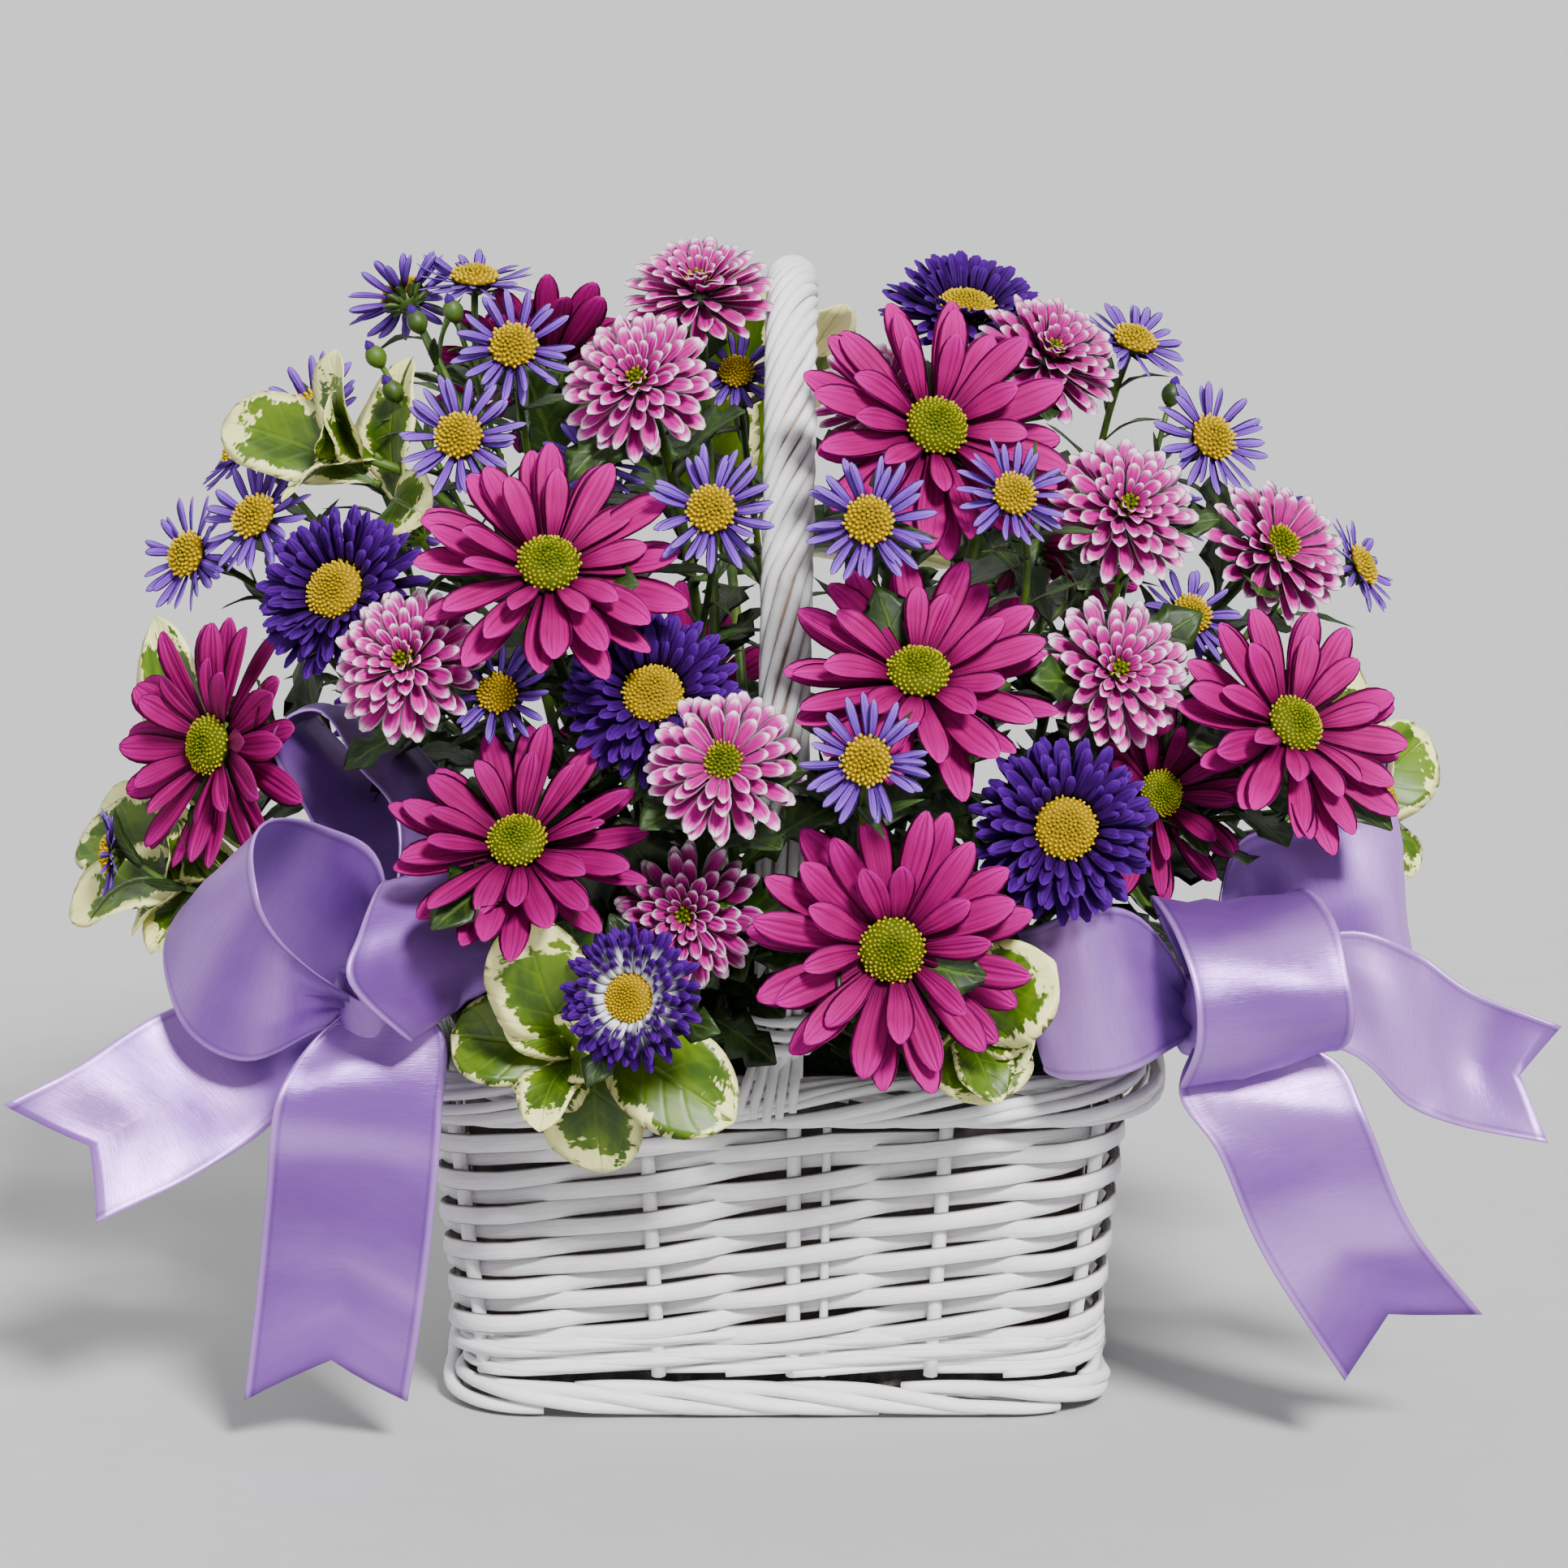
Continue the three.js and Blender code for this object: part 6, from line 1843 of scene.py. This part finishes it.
    def panel(self, wardrobe: Wardrobe) -> None:
        """Makes the woven base panel: sticks across, and weavers that pass over and under them."""
        rng = seeded("panel")
        sketch = Sketch()
        sticks = np.linspace(-60.0, 60.0, 7)
        for x in sticks:
            y = np.linspace(-50.0, 50.0, 12)
            path = np.stack([np.full(12, x), y, np.full(12, 2.5)], axis=1)
            self.rod(sketch, path, 1.5, rng)
        rows = np.arange(-48.0, 48.1, 4.8)
        for k, y in enumerate(rows):
            over = 12.0 - abs(abs(y) - 40.5) if abs(y) > 40.5 else 12.0
            reach = self.base.half_x - self.base.corner + max(over, 0.0) - 1.0
            x = np.linspace(-reach, reach, 60)
            z = 2.5 + 0.95 * np.cos(math.pi * (x / 20.0 + k))
            self.rod(sketch, np.stack([x, np.full(60, y), z], axis=1), 1.5, rng)
        present(sketch, "basket_panel", [wardrobe["white_willow"]], "willow", "basket_base")

    def handle(self, wardrobe: Wardrobe) -> None:
        """Makes the handle: rods laid round a core and twisted as they rise, bound at the rim."""
        rng = seeded("handle")
        sketch = Sketch()
        radius, foot, half_span = self.handle_radius, self.handle_foot, self.handle_half_span
        path = self.arch()
        along = unit(np.gradient(path, axis=0))
        along[0], along[-1] = (0.0, 0.0, 1.0), (0.0, 0.0, -1.0)
        side = unit(np.array([1.0, 0.0, 0.0]) - along * along[:, :1])
        other = np.cross(along, side)
        walked = walked_along(path)
        whole = walked[-1]
        wound = 0.115 * (whole - 240.0)
        twist = np.interp(walked, [0, 60, 120, whole - 120, whole - 60, whole],
                          [0, 0.5, 4.0, 4.0 + wound, 7.5 + wound, 8.0 + wound])
        for k in range(self.handle_rods):
            angle = 2 * math.pi * k / self.handle_rods + twist + 0.05 * np.sin(walked * 0.05 + k)
            reach = radius - self.handle_rod_radius
            line = path + (side * np.cos(angle)[:, None] + other * np.sin(angle)[:, None]) * reach
            self.rod(sketch, line, self.handle_rod_radius, rng, tint=0.1)
        # painted shade: the core is tinted almost to bare wood, so that the gaps between the rods look dark
        sketch.rod(path, self.handle_core, (0.95, 0.0, 0.5), ONLY_FINISH, 12)
        for y_sign in (-1.0, 1.0):
            for k in range(3):
                start = foot + 7.5 + 3.5 * k
                spin = np.linspace(0.0, 2 * math.pi, 25)
                index = int(np.interp(start, path[:90, 2], np.arange(90)))
                middle = path[index] if y_sign < 0 else path[len(path) - 1 - index]
                wrap = radius + 0.5
                ring = np.stack([middle[0] + wrap * np.cos(spin), middle[1] + wrap * np.sin(spin),
                                 start + 0.6 * spin / math.pi - 0.8 * np.cos(spin)], axis=1)
                self.rod(sketch, ring, 1.5, rng)
            for f in np.linspace(-1.0, 1.0, 5):
                t = np.linspace(0.0, 1.0, 12)
                x = mix(4.8 * f, 6.2 * f + 2.6 * y_sign, ease(0.0, 1.0, t))
                y = y_sign * (half_span + mix(3.9 - 3.0 * f * f, 8.2, ease(0.0, 0.7, t)))
                z = mix(foot + 9.0, 78.0 + 3.0 * abs(f), t)
                self.rod(sketch, np.stack([x, y, z], axis=1), 1.25, rng)
        present(sketch, "basket_handle_rods", [wardrobe["white_willow"]], "willow", "basket_handle")

    def arch(self) -> Array:
        """The middle line of the handle, from the front of the rim to the back."""
        rise = self.handle_top - self.handle_radius - self.handle_foot
        turn = np.linspace(0.0, math.pi, 181)
        over, across = (np.sign(wave) * np.abs(wave) ** (2 / self.handle_square)
                        for wave in (np.sin(turn), np.cos(turn)))
        height = rise * over
        return np.stack([self.handle_lean * height / rise, -self.handle_half_span * across,
                         self.handle_foot + height], axis=1)

    def inside(self, wardrobe: Wardrobe, nodes: dict[str, bpy.types.Object]) -> None:
        """Makes the crinkled liner, and dresses the foam block and the picks."""
        rng = seeded("liner")
        sketch = Sketch()
        share = np.arange(120) / 120
        levels = np.linspace(0.0, 1.0, 9)
        phase = rng.uniform(0, 6, 4)
        rings = []
        for thick in (0.0, 1.2):
            for t in levels if thick == 0.0 else levels[::-1]:
                loop = Round(mix(71.0, 76.0, t) - thick, mix(50.0, 55.0, t) - thick, 15.0 - thick)
                crinkle = 0.5 * t * (np.sin(37 * 2 * math.pi * share + phase[0] + 2 * t)
                                     + np.sin(23 * 2 * math.pi * share + phase[1] - 3 * t))
                wave = 0.4 * t * np.sin(17 * 2 * math.pi * share + phase[2])
                z = mix(5.35 + (thick if t == 0 else 0.0), 85.0, t) + wave
                rings.append(ring_points(loop, share, crinkle * 0.5, z))
        rings = np.array(rings)
        sketch.sleeves(rings, reading_of(rings, 0.5, 0.5, 0.5), (0.0, 0.0, 0.5))
        # the liner wears a dark painted shade, seen through the gaps in the wall
        present(sketch, "basket_liner_film", [wardrobe["liner_film_painted_shade"]], "liner", "basket_liner")
        for node, finish in (("floral_foam", "wet_foam"), ("ribbon_left_pick", "bound_wire"),
                             ("ribbon_right_pick", "bound_wire")):
            nodes[node].data.materials.clear()
            nodes[node].data.materials.append(wardrobe[finish])
            log.info("%s: dressed", node)


# ------------------------ studio
@dataclass(frozen=True)
class Studio:
    """The pale floor, the soft lights and the camera at the angle of the reference picture."""

    frame_width: float = 386.4       # what the picture takes in at the basket, in millimetres
    floor_half: float = 12.0         # metres from here on
    floor_level: float = -0.0004

    def floor(self, wardrobe: Wardrobe) -> None:
        """Makes the floor, which isn't part of the object."""
        half = self.floor_half
        corners = [(-half, -half, self.floor_level), (half, -half, self.floor_level),
                   (half, half, self.floor_level), (-half, half, self.floor_level)]
        mesh = bpy.data.meshes.new("studio_floor")
        mesh.from_pydata(corners, [], [(0, 1, 2, 3)])
        mesh.materials.append(wardrobe["studio_floor"])
        ground = bpy.data.objects.new("studio_floor", mesh)
        bpy.context.scene.collection.objects.link(ground)

    def light(self, name: str, place: Numbers, spread: float, strength: float) -> None:
        """Adds a soft light that is far away, so that the whole floor gets the same.

        Args:
            name: what it is called.
            place: the side that it comes from.
            spread: how wide it looks, in degrees.
            strength: its strength in watts to the square metre.
        """
        data = bpy.data.lights.new(name, "SUN")
        data.angle, data.energy = math.radians(spread), strength
        lamp = bpy.data.objects.new(name, data)
        lamp.location = place
        lamp.rotation_euler = (-Vector(place)).to_track_quat("-Z", "Y").to_euler()
        bpy.context.scene.collection.objects.link(lamp)

    def lights(self) -> None:
        """Adds the lights and the pale surroundings."""
        self.light("key", (0.5, -1.25, 1.15), 12.0, 7.0)
        self.light("fill", (-1.3, -1.1, 0.5), 50.0, 0.8)
        self.light("above", (-0.3, 0.7, 1.2), 60.0, 1.2)
        world = bpy.data.worlds.new("studio")
        world.use_nodes = True
        world.node_tree.nodes["Background"].inputs["Color"].default_value = (0.86, 0.87, 0.9, 1.0)
        world.node_tree.nodes["Background"].inputs["Strength"].default_value = 0.54
        bpy.context.scene.world = world

    def camera(self) -> None:
        """Adds the camera and makes it the scene's own."""
        data = bpy.data.cameras.new("camera")
        data.sensor_fit = "HORIZONTAL"
        data.angle = 2 * math.atan(0.5 * self.frame_width / VIEW.distance)
        data.clip_end = 50.0
        eye = bpy.data.objects.new("camera", data)
        eye.location = VIEW.eye * MM
        eye.rotation_euler = Vector(VIEW.forward).to_track_quat("-Z", "Y").to_euler()
        bpy.context.scene.collection.objects.link(eye)
        bpy.context.scene.camera = eye


def write_size() -> None:
    """Brings the placements of the scene's objects up to date."""
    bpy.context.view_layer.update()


def main() -> None:
    """Builds the studio, the basket, the flowers and the bows, in that order."""
    logging.basicConfig(level=logging.INFO, format="%(message)s")
    wardrobe = Wardrobe()
    studio = Studio()
    studio.camera()
    studio.floor(wardrobe)
    studio.lights()

    basket = Basket()
    basket.panel(wardrobe)
    basket.wall(wardrobe)
    basket.borders(wardrobe)
    basket.handle(wardrobe)
    basket.inside(wardrobe, frame["nodes"])

    garden = Garden(wardrobe)
    for name in BLOOMS:
        kind = name.split("_")[0]
        own_disc = f"{name}_disc" in frame["nodes"]
        if kind in ("daisy", "violet"):
            garden.single(name, own_disc, name)
    for name, row in SPRAYS.items():
        if len(row.blooms) > 1:
            garden.spray(name)
        else:
            garden.single(row.blooms[0], False, name)
    for name in LEAFY:
        garden.leafy(name)

    Bow("ribbon_left", BOW_LEFT, (RIBBON_WIDTH, 590.0)).make(wardrobe)
    Bow("ribbon_right", BOW_RIGHT, (RIBBON_WIDTH, 540.0)).make(wardrobe)
    write_size()


if __name__ == "__main__":
    main()
